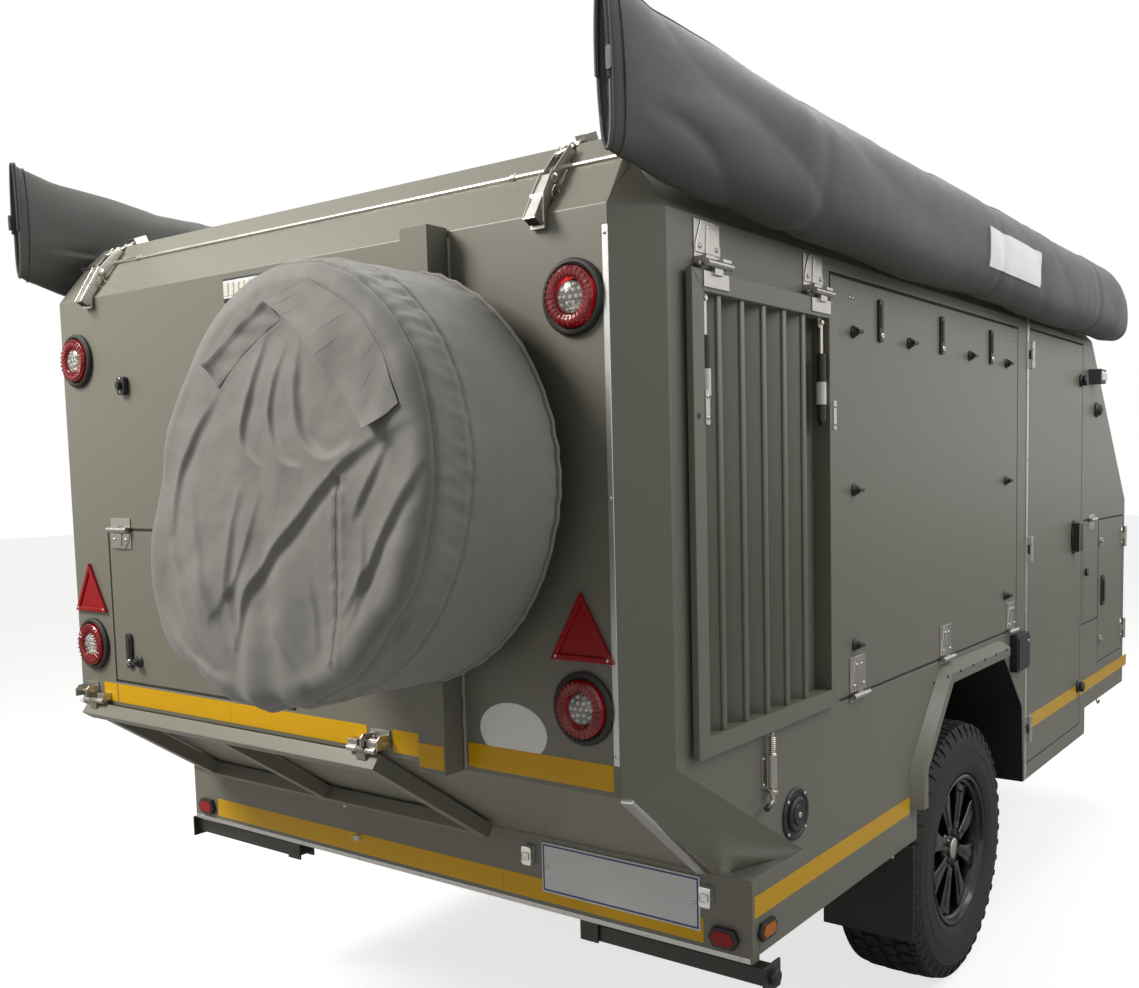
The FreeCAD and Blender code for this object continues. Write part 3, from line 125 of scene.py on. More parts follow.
def soften(mesh, width, rounds=2, sharp=30):
    """Rounds a bmesh's sharp edges."""
    if width <= 0:
        return
    edges = [e for e in mesh.edges if len(e.link_faces) == 2 and e.calc_face_angle(0) > math.radians(sharp)]
    bmesh.ops.bevel(mesh, geom=edges, offset=width, segments=rounds, profile=0.5, affect="EDGES")


def rounded(width, height, radius, steps=6):
    """The outline of a rectangle with round corners, about its middle."""
    points = []
    for quarter, (sx, sy) in enumerate(((1, 1), (-1, 1), (-1, -1), (1, -1))):
        for k in range(steps + 1):
            angle = math.pi / 2 * (quarter + k / steps)
            points.append((sx * (width / 2 - radius) + radius * math.cos(angle),
                           sy * (height / 2 - radius) + radius * math.sin(angle)))
    return points


class Form:
    """Collects the parts of a piece as one mesh, with a finish for each part."""

    def __init__(self):
        self.points, self.faces, self.finishes = [], [], []

    def take(self, mesh, finish=0, place=None):
        """Adds a bmesh, moved to its place, and frees it."""
        bmesh.ops.recalc_face_normals(mesh, faces=mesh.faces)
        first = len(self.points)
        mesh.verts.index_update()
        self.points += [place @ v.co if place else v.co.copy() for v in mesh.verts]
        self.faces += [[first + v.index for v in f.verts] for f in mesh.faces]
        self.finishes += [finish] * len(mesh.faces)
        mesh.free()
        return self

    def block(self, low, high, soft=1.0, finish=0, place=None, rounds=2):
        """A box between two corners with rounded edges."""
        mesh = bmesh.new()
        bmesh.ops.create_cube(mesh, size=1)
        low, high = Vector(low), Vector(high)
        for vert in mesh.verts:
            vert.co = Vector([a * b for a, b in zip(vert.co, high - low)]) + (low + high) / 2
        soften(mesh, soft, rounds)
        return self.take(mesh, finish, place)

    def slab(self, outline, low, high, soft=0.6, finish=0, place=None, rounds=2):
        """A flat outline given a thickness along local Z, with rounded edges."""
        mesh = bmesh.new()
        base = mesh.faces.new([mesh.verts.new((x, y, low)) for x, y in outline])
        made = bmesh.ops.extrude_face_region(mesh, geom=[base])
        moved = [v for v in made["geom"] if isinstance(v, bmesh.types.BMVert)]
        bmesh.ops.translate(mesh, vec=(0, 0, high - low), verts=moved)
        bmesh.ops.recalc_face_normals(mesh, faces=mesh.faces)
        soften(mesh, soft, rounds)
        return self.take(mesh, finish, place)

    def rings(self, rows, finish=0, place=None, closed=False):
        """Skins rings that have the same number of points. A ring of one point is a pole."""
        mesh = bmesh.new()
        made = [[mesh.verts.new(p) for p in row] for row in rows]
        pairs = list(zip(made, made[1:])) + ([(made[-1], made[0])] if closed else [])
        for one, two in pairs:
            count = max(len(one), len(two))
            for k in range(count):
                n = (k + 1) % count
                if len(one) == 1:
                    mesh.faces.new((one[0], two[n], two[k]))
                elif len(two) == 1:
                    mesh.faces.new((one[k], one[n], two[0]))
                else:
                    mesh.faces.new((one[k], one[n], two[n], two[k]))
        if not closed:
            for row in (made[0], made[-1]):
                if len(row) > 2:
                    mesh.faces.new(row)
        return self.take(mesh, finish, place)

    def turned(self, profile, place, sides=32, finish=0, closed=False):
        """A profile of (height, radius) turned about local Z."""
        rows = []
        for height, radius in profile:
            if radius < 1e-6:
                rows.append([Vector((0, 0, height))])
            else:
                rows.append([Vector((radius * math.cos(math.tau * k / sides),
                                     radius * math.sin(math.tau * k / sides), height)) for k in range(sides)])
        return self.rings(rows, finish, place, closed)

    def rod(self, start, end, radius, sides=16, finish=0, soft=0.5, place=None):
        """A round bar between two points with rounded rims."""
        start, end = Vector(start), Vector(end)
        run = end - start
        side = Vector((0, 0, 1)) if abs(run.normalized().z) < 0.9 else Vector((1, 0, 0))
        stand = seat(start, side.cross(run), run.cross(side.cross(run)))
        soft = min(soft, radius * 0.5)
        profile = [(0, 0), (0, radius - soft), (soft, radius), (run.length - soft, radius),
                   (run.length, radius - soft), (run.length, 0)]
        return self.turned(profile, place @ stand if place else stand, sides, finish)

    def pipe(self, path, radius, sides=8, finish=0, closed=False, place=None, squash=1.0):
        """A round bar that follows a path of points."""
        path = [Vector(p) for p in path]
        count = len(path)
        rows, across = [], None
        for i, point in enumerate(path):
            ahead = path[(i + 1) % count] if closed or i + 1 < count else point
            behind = path[i - 1] if closed or i > 0 else point
            run = (ahead - behind).normalized()
            if across is None:
                across = run.orthogonal().normalized()
            across = (across - run * across.dot(run)).normalized()
            other = run.cross(across)
            size = radius[i] if isinstance(radius, (list, tuple)) else radius
            rows.append([point + across * (size * math.cos(math.tau * k / sides))
                         + other * (size * squash * math.sin(math.tau * k / sides)) for k in range(sides)])
        return self.rings(rows, finish, place, closed)


def linked(name, mesh):
    """A new object in the scene."""
    thing = bpy.data.objects.new(name, mesh)
    bpy.context.scene.collection.objects.link(thing)
    return thing


def shade(mesh, angle):
    """Smooth shading, with edges sharper than an angle in degrees kept sharp."""
    mesh.shade_smooth()
    mesh.set_sharp_from_angle(angle=math.radians(angle))


def seated_on(thing, body, replaces):
    """Gives an object its body and hides the nodes that it stands for."""
    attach(thing, body)
    if replaces:
        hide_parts(*replaces)
    return thing


def finished(name, mesh, body, finishes, replaces=(), smooth=35):
    """Makes a mesh a piece that rides on a body: shading by angle, with flat faces kept flat."""
    thing = linked(name, mesh)
    shade(mesh, smooth)
    for word in finishes:
        mesh.materials.append(finish(word))
    weigh = thing.modifiers.new("Flat faces", "WEIGHTED_NORMAL")
    weigh.keep_sharp = True
    settle(thing)
    return seated_on(thing, body, replaces)


def settle(thing):
    """Turns an object's modifiers into plain mesh."""
    graph = bpy.context.evaluated_depsgraph_get()
    mesh = bpy.data.meshes.new_from_object(thing.evaluated_get(graph), depsgraph=graph)
    old = thing.data
    thing.modifiers.clear()
    thing.data = mesh
    mesh.name = thing.name
    bpy.data.meshes.remove(old)
    return thing


def as_mesh(name, form, side=1):
    """A form as a Blender mesh in metres, mirrored for the left side."""
    mesh = bpy.data.meshes.new(name)
    points = [to_frame((side * p[0], p[1], p[2])) for p in form.points]
    faces = form.faces if side > 0 else [face[::-1] for face in form.faces]
    mesh.from_pydata(points, [], faces)
    mesh.polygons.foreach_set("material_index", form.finishes)
    mesh.update()
    return mesh


def piece(name, form, body, finishes, side=1, replaces=()):
    """Makes a form a piece."""
    return finished(name, as_mesh(name, form, side), body, finishes, replaces)


SCREWS = {}


def screw(body, point, facing, radius=4.0, side=1, kind="stainless"):
    """Notes a screw head, which the fasteners' operator makes with the others of its body."""
    point, facing = Vector(point), Vector(facing)
    point.x, facing.x = side * point.x, side * facing.x
    SCREWS.setdefault((body, kind), []).append((to_frame(point), facing.normalized(), radius / 1000))


def screws(body, place, spots, radius=4.0, side=1, kind="stainless"):
    """Notes screw heads at local points of a place."""
    facing = place.to_3x3() @ Vector((0, 0, 1))
    for spot in spots:
        screw(body, place @ Vector(spot), facing, radius, side, kind)


class Tree:
    """Writes a node tree from short calls."""

    def __init__(self, tree):
        self.tree = tree

    def add(self, kind, inputs=None, **settings):
        node = self.tree.nodes.new(kind)
        for word, value in settings.items():
            setattr(node, word, value)
        for word, value in (inputs or {}).items():
            socket = node.inputs[word]
            if isinstance(value, bpy.types.NodeSocket):
                self.tree.links.new(value, socket)
            else:
                socket.default_value = value
        return node

    def math(self, operation, *values):
        return self.add("ShaderNodeMath", dict(enumerate(values)), operation=operation).outputs[0]

    def ramp(self, value, *stops):
        """A ramp of (position, grey) stops."""
        node = self.add("ShaderNodeValToRGB", {"Fac": value})
        for i, (position, grey) in enumerate(stops):
            stop = node.color_ramp.elements[i] if i < 2 else node.color_ramp.elements.new(position)
            stop.position, stop.color = position, (grey, grey, grey, 1)
        return node.outputs["Color"]

    def copies(self, points, form, **turned):
        """Copies of a form on points."""
        inputs = {"Points": points, "Instance": form, **turned}
        return self.add("GeometryNodeInstanceOnPoints", inputs).outputs[0]

    def toned(self, colour, value):
        """A colour made lighter or darker by a value."""
        return self.add("ShaderNodeHueSaturation", {"Color": colour, "Value": value}).outputs["Color"]

    def limits(self, value, low, high):
        """A value as its share of the way from low to high."""
        inputs = {"Value": value, "From Min": low, "From Max": high}
        return self.add("ShaderNodeMapRange", inputs).outputs["Result"]

    def mix(self, factor, one, two):
        return self.add("ShaderNodeMix", {0: factor, 6: one, 7: two}, data_type="RGBA").outputs[2]


def shader_group(name, inputs, outputs):
    """A new shader group with named sockets: its writer, its input node and its output node."""
    group = bpy.data.node_groups.new(name, "ShaderNodeTree")
    for way, sockets in (("INPUT", inputs), ("OUTPUT", outputs)):
        for word, kind in sockets.items():
            group.interface.new_socket(word, in_out=way, socket_type="NodeSocket" + kind)
    tree = Tree(group)
    return tree, tree.add("NodeGroupInput").outputs, tree.add("NodeGroupOutput")


def output(tree, end, **values):
    """Links values to a group's output."""
    for word, value in values.items():
        tree.tree.links.new(value, end.inputs[word])


def group_of(name):
    """A shader group by name, built the first time that it is asked for."""
    return bpy.data.node_groups.get(name) or GROUPS[name](name)


def mottle_group(name):
    """Broad and fine changes of tone, for paint, rubber, plastic and cloth."""
    tree, given, end = shader_group(name, {"Vector": "Vector", "Broad": "Float", "Fine": "Float",
                                           "Colour": "Color", "Depth": "Float"},
                                    {"Colour": "Color", "Fine": "Float"})
    broad, fine = (tree.add("ShaderNodeTexNoise", {"Vector": given["Vector"], "Scale": given[size],
                                                   "Detail": detail})
                   for size, detail in (("Broad", 4.0), ("Fine", 3.0)))
    both = tree.math("ADD", tree.math("MULTIPLY", broad.outputs["Fac"], 0.7),
                     tree.math("MULTIPLY", fine.outputs["Fac"], 0.3))
    shift = tree.math("MULTIPLY", tree.math("SUBTRACT", both, 0.5), given["Depth"])
    value = tree.math("ADD", 1.0, shift)
    output(tree, end, Colour=tree.toned(given["Colour"], value), Fine=fine.outputs["Fac"])
    return tree.tree


def film_group(name):
    """Road dust: a thin film that thickens towards the ground and in blotches."""
    tree, given, end = shader_group(name, {"Vector": "Vector", "Colour": "Color", "Dust": "Color",
                                           "Top": "Float", "Amount": "Float"},
                                    {"Colour": "Color", "Mask": "Float"})
    height = tree.add("ShaderNodeSeparateXYZ", {"Vector": given["Vector"]}).outputs["Z"]
    low = tree.add("ShaderNodeMapRange", {"Value": height, "From Min": given["Top"], "From Max": 0.2,
                                          "To Min": 0.0, "To Max": 1.0}, interpolation_type="SMOOTHSTEP")
    blotch = tree.add("ShaderNodeTexNoise", {"Vector": given["Vector"], "Scale": 7.0, "Detail": 6.0,
                                             "Roughness": 0.65})
    patch = tree.limits(blotch.outputs["Fac"], 0.35, 0.75)
    mask = tree.math("MULTIPLY", tree.math("MULTIPLY", low.outputs["Result"], given["Amount"]),
                     tree.math("ADD", 0.35, tree.math("MULTIPLY", patch, 0.65)))
    output(tree, end, Colour=tree.mix(mask, given["Colour"], given["Dust"]), Mask=mask)
    return tree.tree


def scratch_group(name):
    """Fine scratches and rubbed patches that show a second colour."""
    tree, given, end = shader_group(name, {"Vector": "Vector", "Colour": "Color", "Under": "Color",
                                           "Amount": "Float", "Scale": "Float"},
                                    {"Colour": "Color", "Mask": "Float"})
    long = tree.add("ShaderNodeMapping", {"Vector": given["Vector"], "Scale": (1.0, 1.0, 9.0)})
    lines = tree.add("ShaderNodeTexNoise", {"Vector": long.outputs["Vector"], "Scale": given["Scale"],
                                            "Detail": 8.0, "Roughness": 0.8})
    mask = tree.math("MULTIPLY", tree.limits(lines.outputs["Fac"], 0.62, 0.72), given["Amount"])
    output(tree, end, Colour=tree.mix(mask, given["Colour"], given["Under"]), Mask=mask)
    return tree.tree


def brushed_group(name):
    """The fine lines of brushed or drawn metal, stretched by a vector."""
    tree, given, end = shader_group(name, {"Vector": "Vector", "Stretch": "Vector", "Colour": "Color"},
                                    {"Colour": "Color", "Rough": "Float", "Height": "Float"})
    drawn = tree.add("ShaderNodeVectorMath", {0: given["Vector"], 1: given["Stretch"]}, operation="MULTIPLY")
    lines = tree.add("ShaderNodeTexNoise", {"Vector": drawn.outputs["Vector"], "Scale": 60.0, "Detail": 4.0})
    broad = tree.add("ShaderNodeTexNoise", {"Vector": given["Vector"], "Scale": 14.0, "Detail": 3.0})
    shade = tree.math("ADD", 0.86, tree.math("MULTIPLY", lines.outputs["Fac"], 0.28))
    rough = tree.math("ADD", 0.16, tree.math("MULTIPLY", broad.outputs["Fac"], 0.24))
    output(tree, end, Colour=tree.toned(given["Colour"], shade), Rough=rough, Height=lines.outputs["Fac"])
    return tree.tree


def weave_group(name):
    """A plain weave: threads that cross in a UV map measured in metres."""
    tree, given, end = shader_group(name, {"Vector": "Vector", "Threads": "Float", "Colour": "Color",
                                           "Depth": "Float"},
                                    {"Colour": "Color", "Height": "Float"})
    spot = tree.add("ShaderNodeSeparateXYZ", {"Vector": given["Vector"]}).outputs
    turns = [tree.math("MULTIPLY", tree.math("MULTIPLY", spot[axis], given["Threads"]), math.tau)
             for axis in ("X", "Y")]
    warp, weft = (tree.math("SINE", turn) for turn in turns)
    crossing = tree.math("MULTIPLY", warp, weft)
    height = tree.math("ADD", 0.5, tree.math("MULTIPLY", crossing, 0.5))
    shade = tree.math("ADD", 1.0, tree.math("MULTIPLY", crossing, given["Depth"]))
    output(tree, end, Colour=tree.toned(given["Colour"], shade), Height=height)
    return tree.tree


def prism_group(name):
    """The small three-way prisms inside reflective tape and reflectors."""
    tree, given, end = shader_group(name, {"Vector": "Vector", "Scale": "Float"}, {"Height": "Float"})
    spot = tree.add("ShaderNodeSeparateXYZ", {"Vector": given["Vector"]}).outputs
    across = tree.math("MULTIPLY", tree.math("ADD", spot["X"], spot["Y"]), given["Scale"])
    up = tree.math("MULTIPLY", spot["Z"], given["Scale"])
    lines = []
    for turn in (0, 60, 120):
        c, s = math.cos(math.radians(turn)), math.sin(math.radians(turn))
        run = tree.math("ADD", tree.math("MULTIPLY", across, c), tree.math("MULTIPLY", up, s))
        lines.append(tree.math("PINGPONG", run, 0.5))
    low = tree.math("MINIMUM", tree.math("MINIMUM", lines[0], lines[1]), lines[2])
    output(tree, end, Height=tree.math("MULTIPLY", low, 2.0))
    return tree.tree


GROUPS = {"Mottle": mottle_group, "Road film": film_group, "Scratches": scratch_group,
          "Brushed": brushed_group, "Plain weave": weave_group, "Prisms": prism_group}


class Finish:
    """Writes one material around a Principled shader."""

    def __init__(self, name, **plain):
        self.material = bpy.data.materials.new(name)
        self.material.use_nodes = True
        self.tree = Tree(self.material.node_tree)
        self.shader = self.material.node_tree.nodes["Principled BSDF"]
        for word, value in plain.items():
            self.shader.inputs[word.replace("_", " ")].default_value = value
        self.spots = self.tree.add("ShaderNodeTexCoord").outputs

    def use(self, name, vector="Object", **inputs):
        """Adds a shader group that is laid out by one of the object's coordinates."""
        inputs["Vector"] = self.spots[vector]
        return self.tree.add("ShaderNodeGroup", inputs, node_tree=group_of(name)).outputs

    def feed(self, word, value):
        self.tree.tree.links.new(value, self.shader.inputs[word])

    def rough(self, base, value, gain):
        """Roughness that grows from a base with a value."""
        self.feed("Roughness", self.tree.math("ADD", base, self.tree.math("MULTIPLY", value, gain)))

    def dusty(self, base, top, amount):
        """A base colour under road dust that starts at a height."""
        dust = colour("caravan_colours", "dust")
        film = self.use("Road film", Colour=base, Dust=dust, Top=top, Amount=amount)
        self.feed("Base Color", film["Colour"])
        return film

    def bump(self, height, distance, strength=0.5):
        node = self.tree.add("ShaderNodeBump", {"Height": height, "Distance": distance, "Strength": strength})
        self.feed("Normal", node.outputs["Normal"])
        return self.material


def colour(group, word):
    """One of the user's colours, with alpha."""
    return (*getattr(getattr(bpy.context.scene, group), word), 1.0)


def make_paint(name, base, rough=0.42, dust=0.22, grain=0.00006, scale=900.0):
    made = Finish(name, Coat_Weight=0.12, Coat_Roughness=0.35)
    tone = made.use("Mottle", Broad=1.6, Fine=scale, Colour=base, Depth=0.10)
    film = made.dusty(tone["Colour"], 1.3, dust)
    spread = made.tree.math("MULTIPLY", tone["Fine"], 0.12)
    made.rough(made.tree.math("ADD", spread, rough - 0.06), film["Mask"], 0.25)
    return made.bump(tone["Fine"], grain)


def make_bars(name):
    made = Finish(name, Coat_Weight=0.1, Coat_Roughness=0.4)
    worn = made.use("Scratches", Colour=colour("caravan_colours", "paint"), Under=(0.12, 0.11, 0.1, 1),
                    Amount=0.35, Scale=14.0)
    tone = made.use("Mottle", Broad=3.0, Fine=700.0, Colour=worn["Colour"], Depth=0.16)
    made.dusty(tone["Colour"], 1.1, 0.3)
    made.rough(0.4, worn["Mask"], 0.3)
    return made.bump(tone["Fine"], 0.0001)


def make_chassis(name):
    made = Finish(name, Coat_Weight=0.15, Coat_Roughness=0.3)
    worn = made.use("Scratches", Colour=(0.012, 0.012, 0.012, 1), Under=(0.07, 0.06, 0.05, 1), Amount=0.6,
                    Scale=22.0)
    film = made.dusty(worn["Colour"], 0.9, 0.25)
    tone = made.use("Mottle", Broad=4.0, Fine=600.0, Colour=worn["Colour"], Depth=0.2)
    made.rough(0.32, film["Mask"], 0.6)
    return made.bump(tone["Fine"], 0.0002)


def make_metal(name, base, stretch, rough=0.0, metallic=1.0, depth=0.00003):
    made = Finish(name, Metallic=metallic)
    lines = made.use("Brushed", Stretch=stretch, Colour=base)
    under = (*(c * 0.6 for c in base[:3]), 1)
    worn = made.use("Scratches", Colour=lines["Colour"], Under=under, Amount=0.3, Scale=30.0)
    made.feed("Base Color", worn["Colour"])
    made.feed("Roughness", made.tree.math("ADD", lines["Rough"], rough))
    return made.bump(lines["Height"], depth, 0.4)


def make_zinc(name):
    made = Finish(name, Metallic=0.85)
    cells = made.tree.add("ShaderNodeTexVoronoi", {"Vector": made.spots["Object"], "Scale": 90.0})
    grey = made.tree.ramp(cells.outputs["Color"], (0.0, 0.42), (1.0, 0.66))
    made.dusty(grey, 0.9, 0.35)
    made.rough(0.36, cells.outputs["Distance"], 0.25)
    return made.bump(cells.outputs["Distance"], 0.0001, 0.3)


def make_rubber(name, base=(0.018, 0.018, 0.017, 1), rough=0.62, dust=0.3, fine=300.0, depth=0.00015):
    made = Finish(name)
    tone = made.use("Mottle", Broad=6.0, Fine=fine, Colour=base, Depth=0.35)
    made.dusty(tone["Colour"], 0.95, dust)
    made.rough(rough - 0.05, tone["Fine"], 0.14)
    return made.bump(tone["Fine"], depth)


def make_gloss(name, base, rough=0.12, coat=0.6):
    made = Finish(name, Coat_Weight=coat, Coat_Roughness=0.06, IOR=1.5)
    tone = made.use("Mottle", Broad=5.0, Fine=220.0, Colour=base, Depth=0.12)
    made.feed("Base Color", tone["Colour"])
    made.rough(rough, tone["Fine"], 0.08)
    return made.bump(tone["Fine"], 0.00003, 0.3)


def make_lens(name, base, through=0.75):
    made = Finish(name, Transmission_Weight=through, IOR=1.49, Coat_Weight=0.3, Coat_Roughness=0.03)
    tone = made.use("Mottle", Broad=12.0, Fine=160.0, Colour=base, Depth=0.1)
    made.feed("Base Color", tone["Colour"])
    made.rough(0.03, tone["Fine"], 0.08)
    prisms = made.use("Prisms", Scale=220.0)
    return made.bump(prisms["Height"], 0.0006, 0.35)


def make_reflector(name, base, scale=280.0, rough=0.22):
    made = Finish(name, Coat_Weight=0.08, Coat_Roughness=0.1, Specular_IOR_Level=0.25)
    prisms = made.use("Prisms", Scale=scale)
    shade = made.tree.math("ADD", 0.72, made.tree.math("MULTIPLY", prisms["Height"], 0.5))
    tone = made.use("Mottle", Broad=3.0, Fine=120.0, Colour=made.tree.toned(base, shade), Depth=0.18)
    made.feed("Base Color", tone["Colour"])
    made.rough(rough, tone["Fine"], 0.15)
    return made.bump(prisms["Height"], 0.0003, 0.35)


def make_cloth(name, base, threads, depth, rough, broad=2.5, sheen=0.15):
    made = Finish(name, Sheen_Weight=sheen, Sheen_Roughness=0.5)
    weave = made.use("Plain weave", "UV", Threads=threads, Colour=base, Depth=depth)
    tone = made.use("Mottle", Broad=broad, Fine=60.0, Colour=weave["Colour"], Depth=0.14)
    made.dusty(tone["Colour"], 1.6, 0.12)
    made.rough(rough, tone["Fine"], 0.14)
    height = made.tree.math("ADD", weave["Height"], made.tree.math("MULTIPLY", tone["Fine"], 2.0))
    return made.bump(height, 0.0003, 0.35)


def make_board(name):
    made = Finish(name)
    tone = made.use("Mottle", Broad=2.0, Fine=260.0, Colour=(0.52, 0.51, 0.48, 1), Depth=0.08)
    made.feed("Base Color", tone["Colour"])
    made.rough(0.5, tone["Fine"], 0.1)
    return made.bump(tone["Fine"], 0.0001, 0.3)


FINISHES = {
    "paint": lambda n: make_paint(n, colour("caravan_colours", "paint")),
    "bars": make_bars,
    "chassis": make_chassis,
    "stainless": lambda n: make_metal(n, (0.52, 0.50, 0.46, 1), (1.0, 1.0, 6.0), 0.02),
    "aluminium": lambda n: make_metal(n, (0.60, 0.59, 0.57, 1), (9.0, 9.0, 0.6), 0.12),
    "polished": lambda n: make_metal(n, (0.60, 0.57, 0.50, 1), (0.5, 9.0, 9.0), -0.04),
    "zinc": make_zinc,
    "tyre": lambda n: make_rubber(n, (0.010, 0.010, 0.010, 1), 0.7, 0.05, 240.0, 0.0004),
    "rubber": make_rubber,
    "flap": lambda n: make_rubber(n, (0.006, 0.006, 0.006, 1), 0.55, 0.08, 160.0),
    "plastic": lambda n: make_rubber(n, (0.016, 0.016, 0.017, 1), 0.42, 0.06, 900.0, 0.00006),
    "alloy": lambda n: make_gloss(n, (0.005, 0.005, 0.006, 1), 0.16, 0.12),
    "lens_red": lambda n: make_lens(n, (0.55, 0.012, 0.016, 1), 0.6),
    "lens_clear": lambda n: make_lens(n, (0.92, 0.92, 0.9, 1), 0.92),
    "mirror": lambda n: make_metal(n, (0.9, 0.9, 0.88, 1), (1.0, 1.0, 1.0), -0.1),
    "led": lambda n: make_gloss(n, (0.85, 0.84, 0.74, 1), 0.2),
    "red_reflex": lambda n: make_reflector(n, (0.42, 0.008, 0.012, 1)),
    "amber_reflex": lambda n: make_reflector(n, (0.75, 0.2, 0.01, 1)),
    "tape": lambda n: make_reflector(n, colour("caravan_colours", "tape"), 190.0),
    "plate_white": lambda n: make_reflector(n, (0.95, 0.96, 0.97, 1), 420.0, 0.3),
    "plate_blue": lambda n: make_gloss(n, (0.012, 0.035, 0.2, 1), 0.25, 0.3),
    "sticker": lambda n: make_gloss(n, (0.93, 0.93, 0.92, 1), 0.22, 0.3),
    "cover_cloth": lambda n: make_cloth(n, colour("caravan_colours", "cover"), 900.0, 0.05, 0.58),
    "bag_cloth": lambda n: make_cloth(n, colour("caravan_colours", "bag"), 1300.0, 0.04, 0.46, 1.6, 0.05),
    "thread": lambda n: make_rubber(n, (0.34, 0.34, 0.32, 1), 0.7, 0.0, 900.0),
    "white_plastic": lambda n: make_gloss(n, (0.74, 0.74, 0.71, 1), 0.35, 0.1),
    "board": make_board,
    "sealant": lambda n: make_rubber(n, (0.38, 0.37, 0.33, 1), 0.6, 0.1),
}
MADE = {}


def finish(word):
    """A material by its finish, made once."""
    if word not in MADE:
        MADE[word] = FINISHES[word](word)
    return MADE[word]


def geometry_tree(name, inputs):
    """A Geometry Nodes tree with named inputs that ends in Realize Instances and Set Material."""
    group = bpy.data.node_groups.new(name, "GeometryNodeTree")
    group.interface.new_socket("Geometry", in_out="INPUT", socket_type="NodeSocketGeometry")
    for word, kind in inputs.items():
        group.interface.new_socket(word, in_out="INPUT", socket_type="NodeSocket" + kind)
    group.interface.new_socket("Material", in_out="INPUT", socket_type="NodeSocketMaterial")
    group.interface.new_socket("Geometry", in_out="OUTPUT", socket_type="NodeSocketGeometry")
    tree = Tree(group)
    given = tree.add("NodeGroupInput").outputs

    def close(geometry):
        real = tree.add("GeometryNodeRealizeInstances", {0: geometry})
        made = tree.add("GeometryNodeSetMaterial", {0: real.outputs[0], "Material": given["Material"]})
        tree.add("NodeGroupOutput", {0: made.outputs[0]})
        return group
    return tree, given, close


def heads_tree():
    """A screw head on each point, turned to its facing and sized by its radius."""
    tree, given, close = geometry_tree("Screw heads", {"Head": "Object"})
    head = tree.add("GeometryNodeObjectInfo", {0: given["Head"]})
    facing = tree.add("GeometryNodeInputNamedAttribute", {"Name": "facing"}, data_type="FLOAT_VECTOR")
    radius = tree.add("GeometryNodeInputNamedAttribute", {"Name": "radius"}, data_type="FLOAT")
    turn = tree.add("FunctionNodeAlignRotationToVector", {"Vector": facing.outputs[0]}, axis="Z")
    return close(tree.copies(given["Geometry"], head.outputs[4], Rotation=turn.outputs[0],
                             Scale=radius.outputs[0]))


def wheel_tree():
    """Copies of one pitch around the X axis."""
    tree, given, close = geometry_tree("Around the axle", {"Count": "Int", "Start": "Float"})
    points = tree.add("GeometryNodePoints", {"Count": given["Count"]})
    index = tree.add("GeometryNodeInputIndex")
    step = tree.math("DIVIDE", math.tau, given["Count"])
    angle = tree.math("ADD", tree.math("MULTIPLY", index.outputs[0], step), given["Start"])
    turn = tree.add("ShaderNodeCombineXYZ", {"X": angle})
    return close(tree.copies(points.outputs[0], given["Geometry"], Rotation=turn.outputs[0]))


def row_tree():
    """Copies of one form in a row."""
    tree, given, close = geometry_tree("In a row", {"Count": "Int", "Step": "Vector"})
    line = tree.add("GeometryNodeMeshLine", {"Count": given["Count"], "Offset": given["Step"]}, mode="OFFSET")
    return close(tree.copies(line.outputs[0], given["Geometry"]))


def stitch_tree():
    """Stitches along the edges of a path."""
    tree, given, close = geometry_tree("Stitches", {"Pitch": "Float", "Length": "Float", "Thread": "Float"})
    path = tree.add("GeometryNodeMeshToCurve", {0: given["Geometry"]})
    lengths = {0: path.outputs[0], "Length": given["Pitch"]}
    points = tree.add("GeometryNodeCurveToPoints", lengths, mode="LENGTH").outputs
    thread = tree.add("GeometryNodeMeshUVSphere", {"Segments": 6, "Rings": 4, "Radius": 1.0})
    half = tree.math("MULTIPLY", given["Length"], 0.5)
    size = tree.add("ShaderNodeCombineXYZ", {"X": given["Thread"], "Y": given["Thread"], "Z": half})
    return close(tree.copies(points[0], thread.outputs[0], Rotation=points["Rotation"], Scale=size.outputs[0]))


TREES = {"heads": heads_tree, "wheel": wheel_tree, "row": row_tree, "stitch": stitch_tree}
GROWN = {}


def grow(name, mesh, kind, word, **inputs):
    """Runs a Geometry Nodes tree on a mesh and gives the result as a plain object."""
    if kind not in GROWN:
        GROWN[kind] = TREES[kind]()
    thing = linked(name, mesh)
    modifier = thing.modifiers.new(kind, "NODES")
    modifier.node_group = GROWN[kind]
    sockets = {s.name: s.identifier for s in GROWN[kind].interface.items_tree if s.in_out == "INPUT"}
    for socket, value in {**inputs, "Material": finish(word)}.items():
        modifier[sockets[socket]] = value
    settle(thing)
    return thing


def grown_piece(thing, body, replaces=(), smooth=35):
    """Shades and seats what a tree has made."""
    shade(thing.data, smooth)
    return seated_on(thing, body, replaces)


SHELL = ("front_wall", "rear_wall", "rear_bumper", "floor_panel", "right_wall", "left_wall", "roof_cap",
         "roof_seal", "entry_door", "kitchen_hatch_right", "kitchen_hatch_left", "nose_hatch_right",
         "nose_hatch_left",
         "locker_hatch", "rear_hatch")


def shell_tree():
    """Every panel of the shell as one tree, to ask what lies ahead of a face."""
    points, faces = [], []
    for node in SHELL:
        mesh = NODES[node].data
        first = len(points)
        points += [v.co.copy() for v in mesh.vertices]
        faces += [[first + i for i in p.vertices] for p in mesh.polygons]
    return BVHTree.FromPolygons(points, faces)


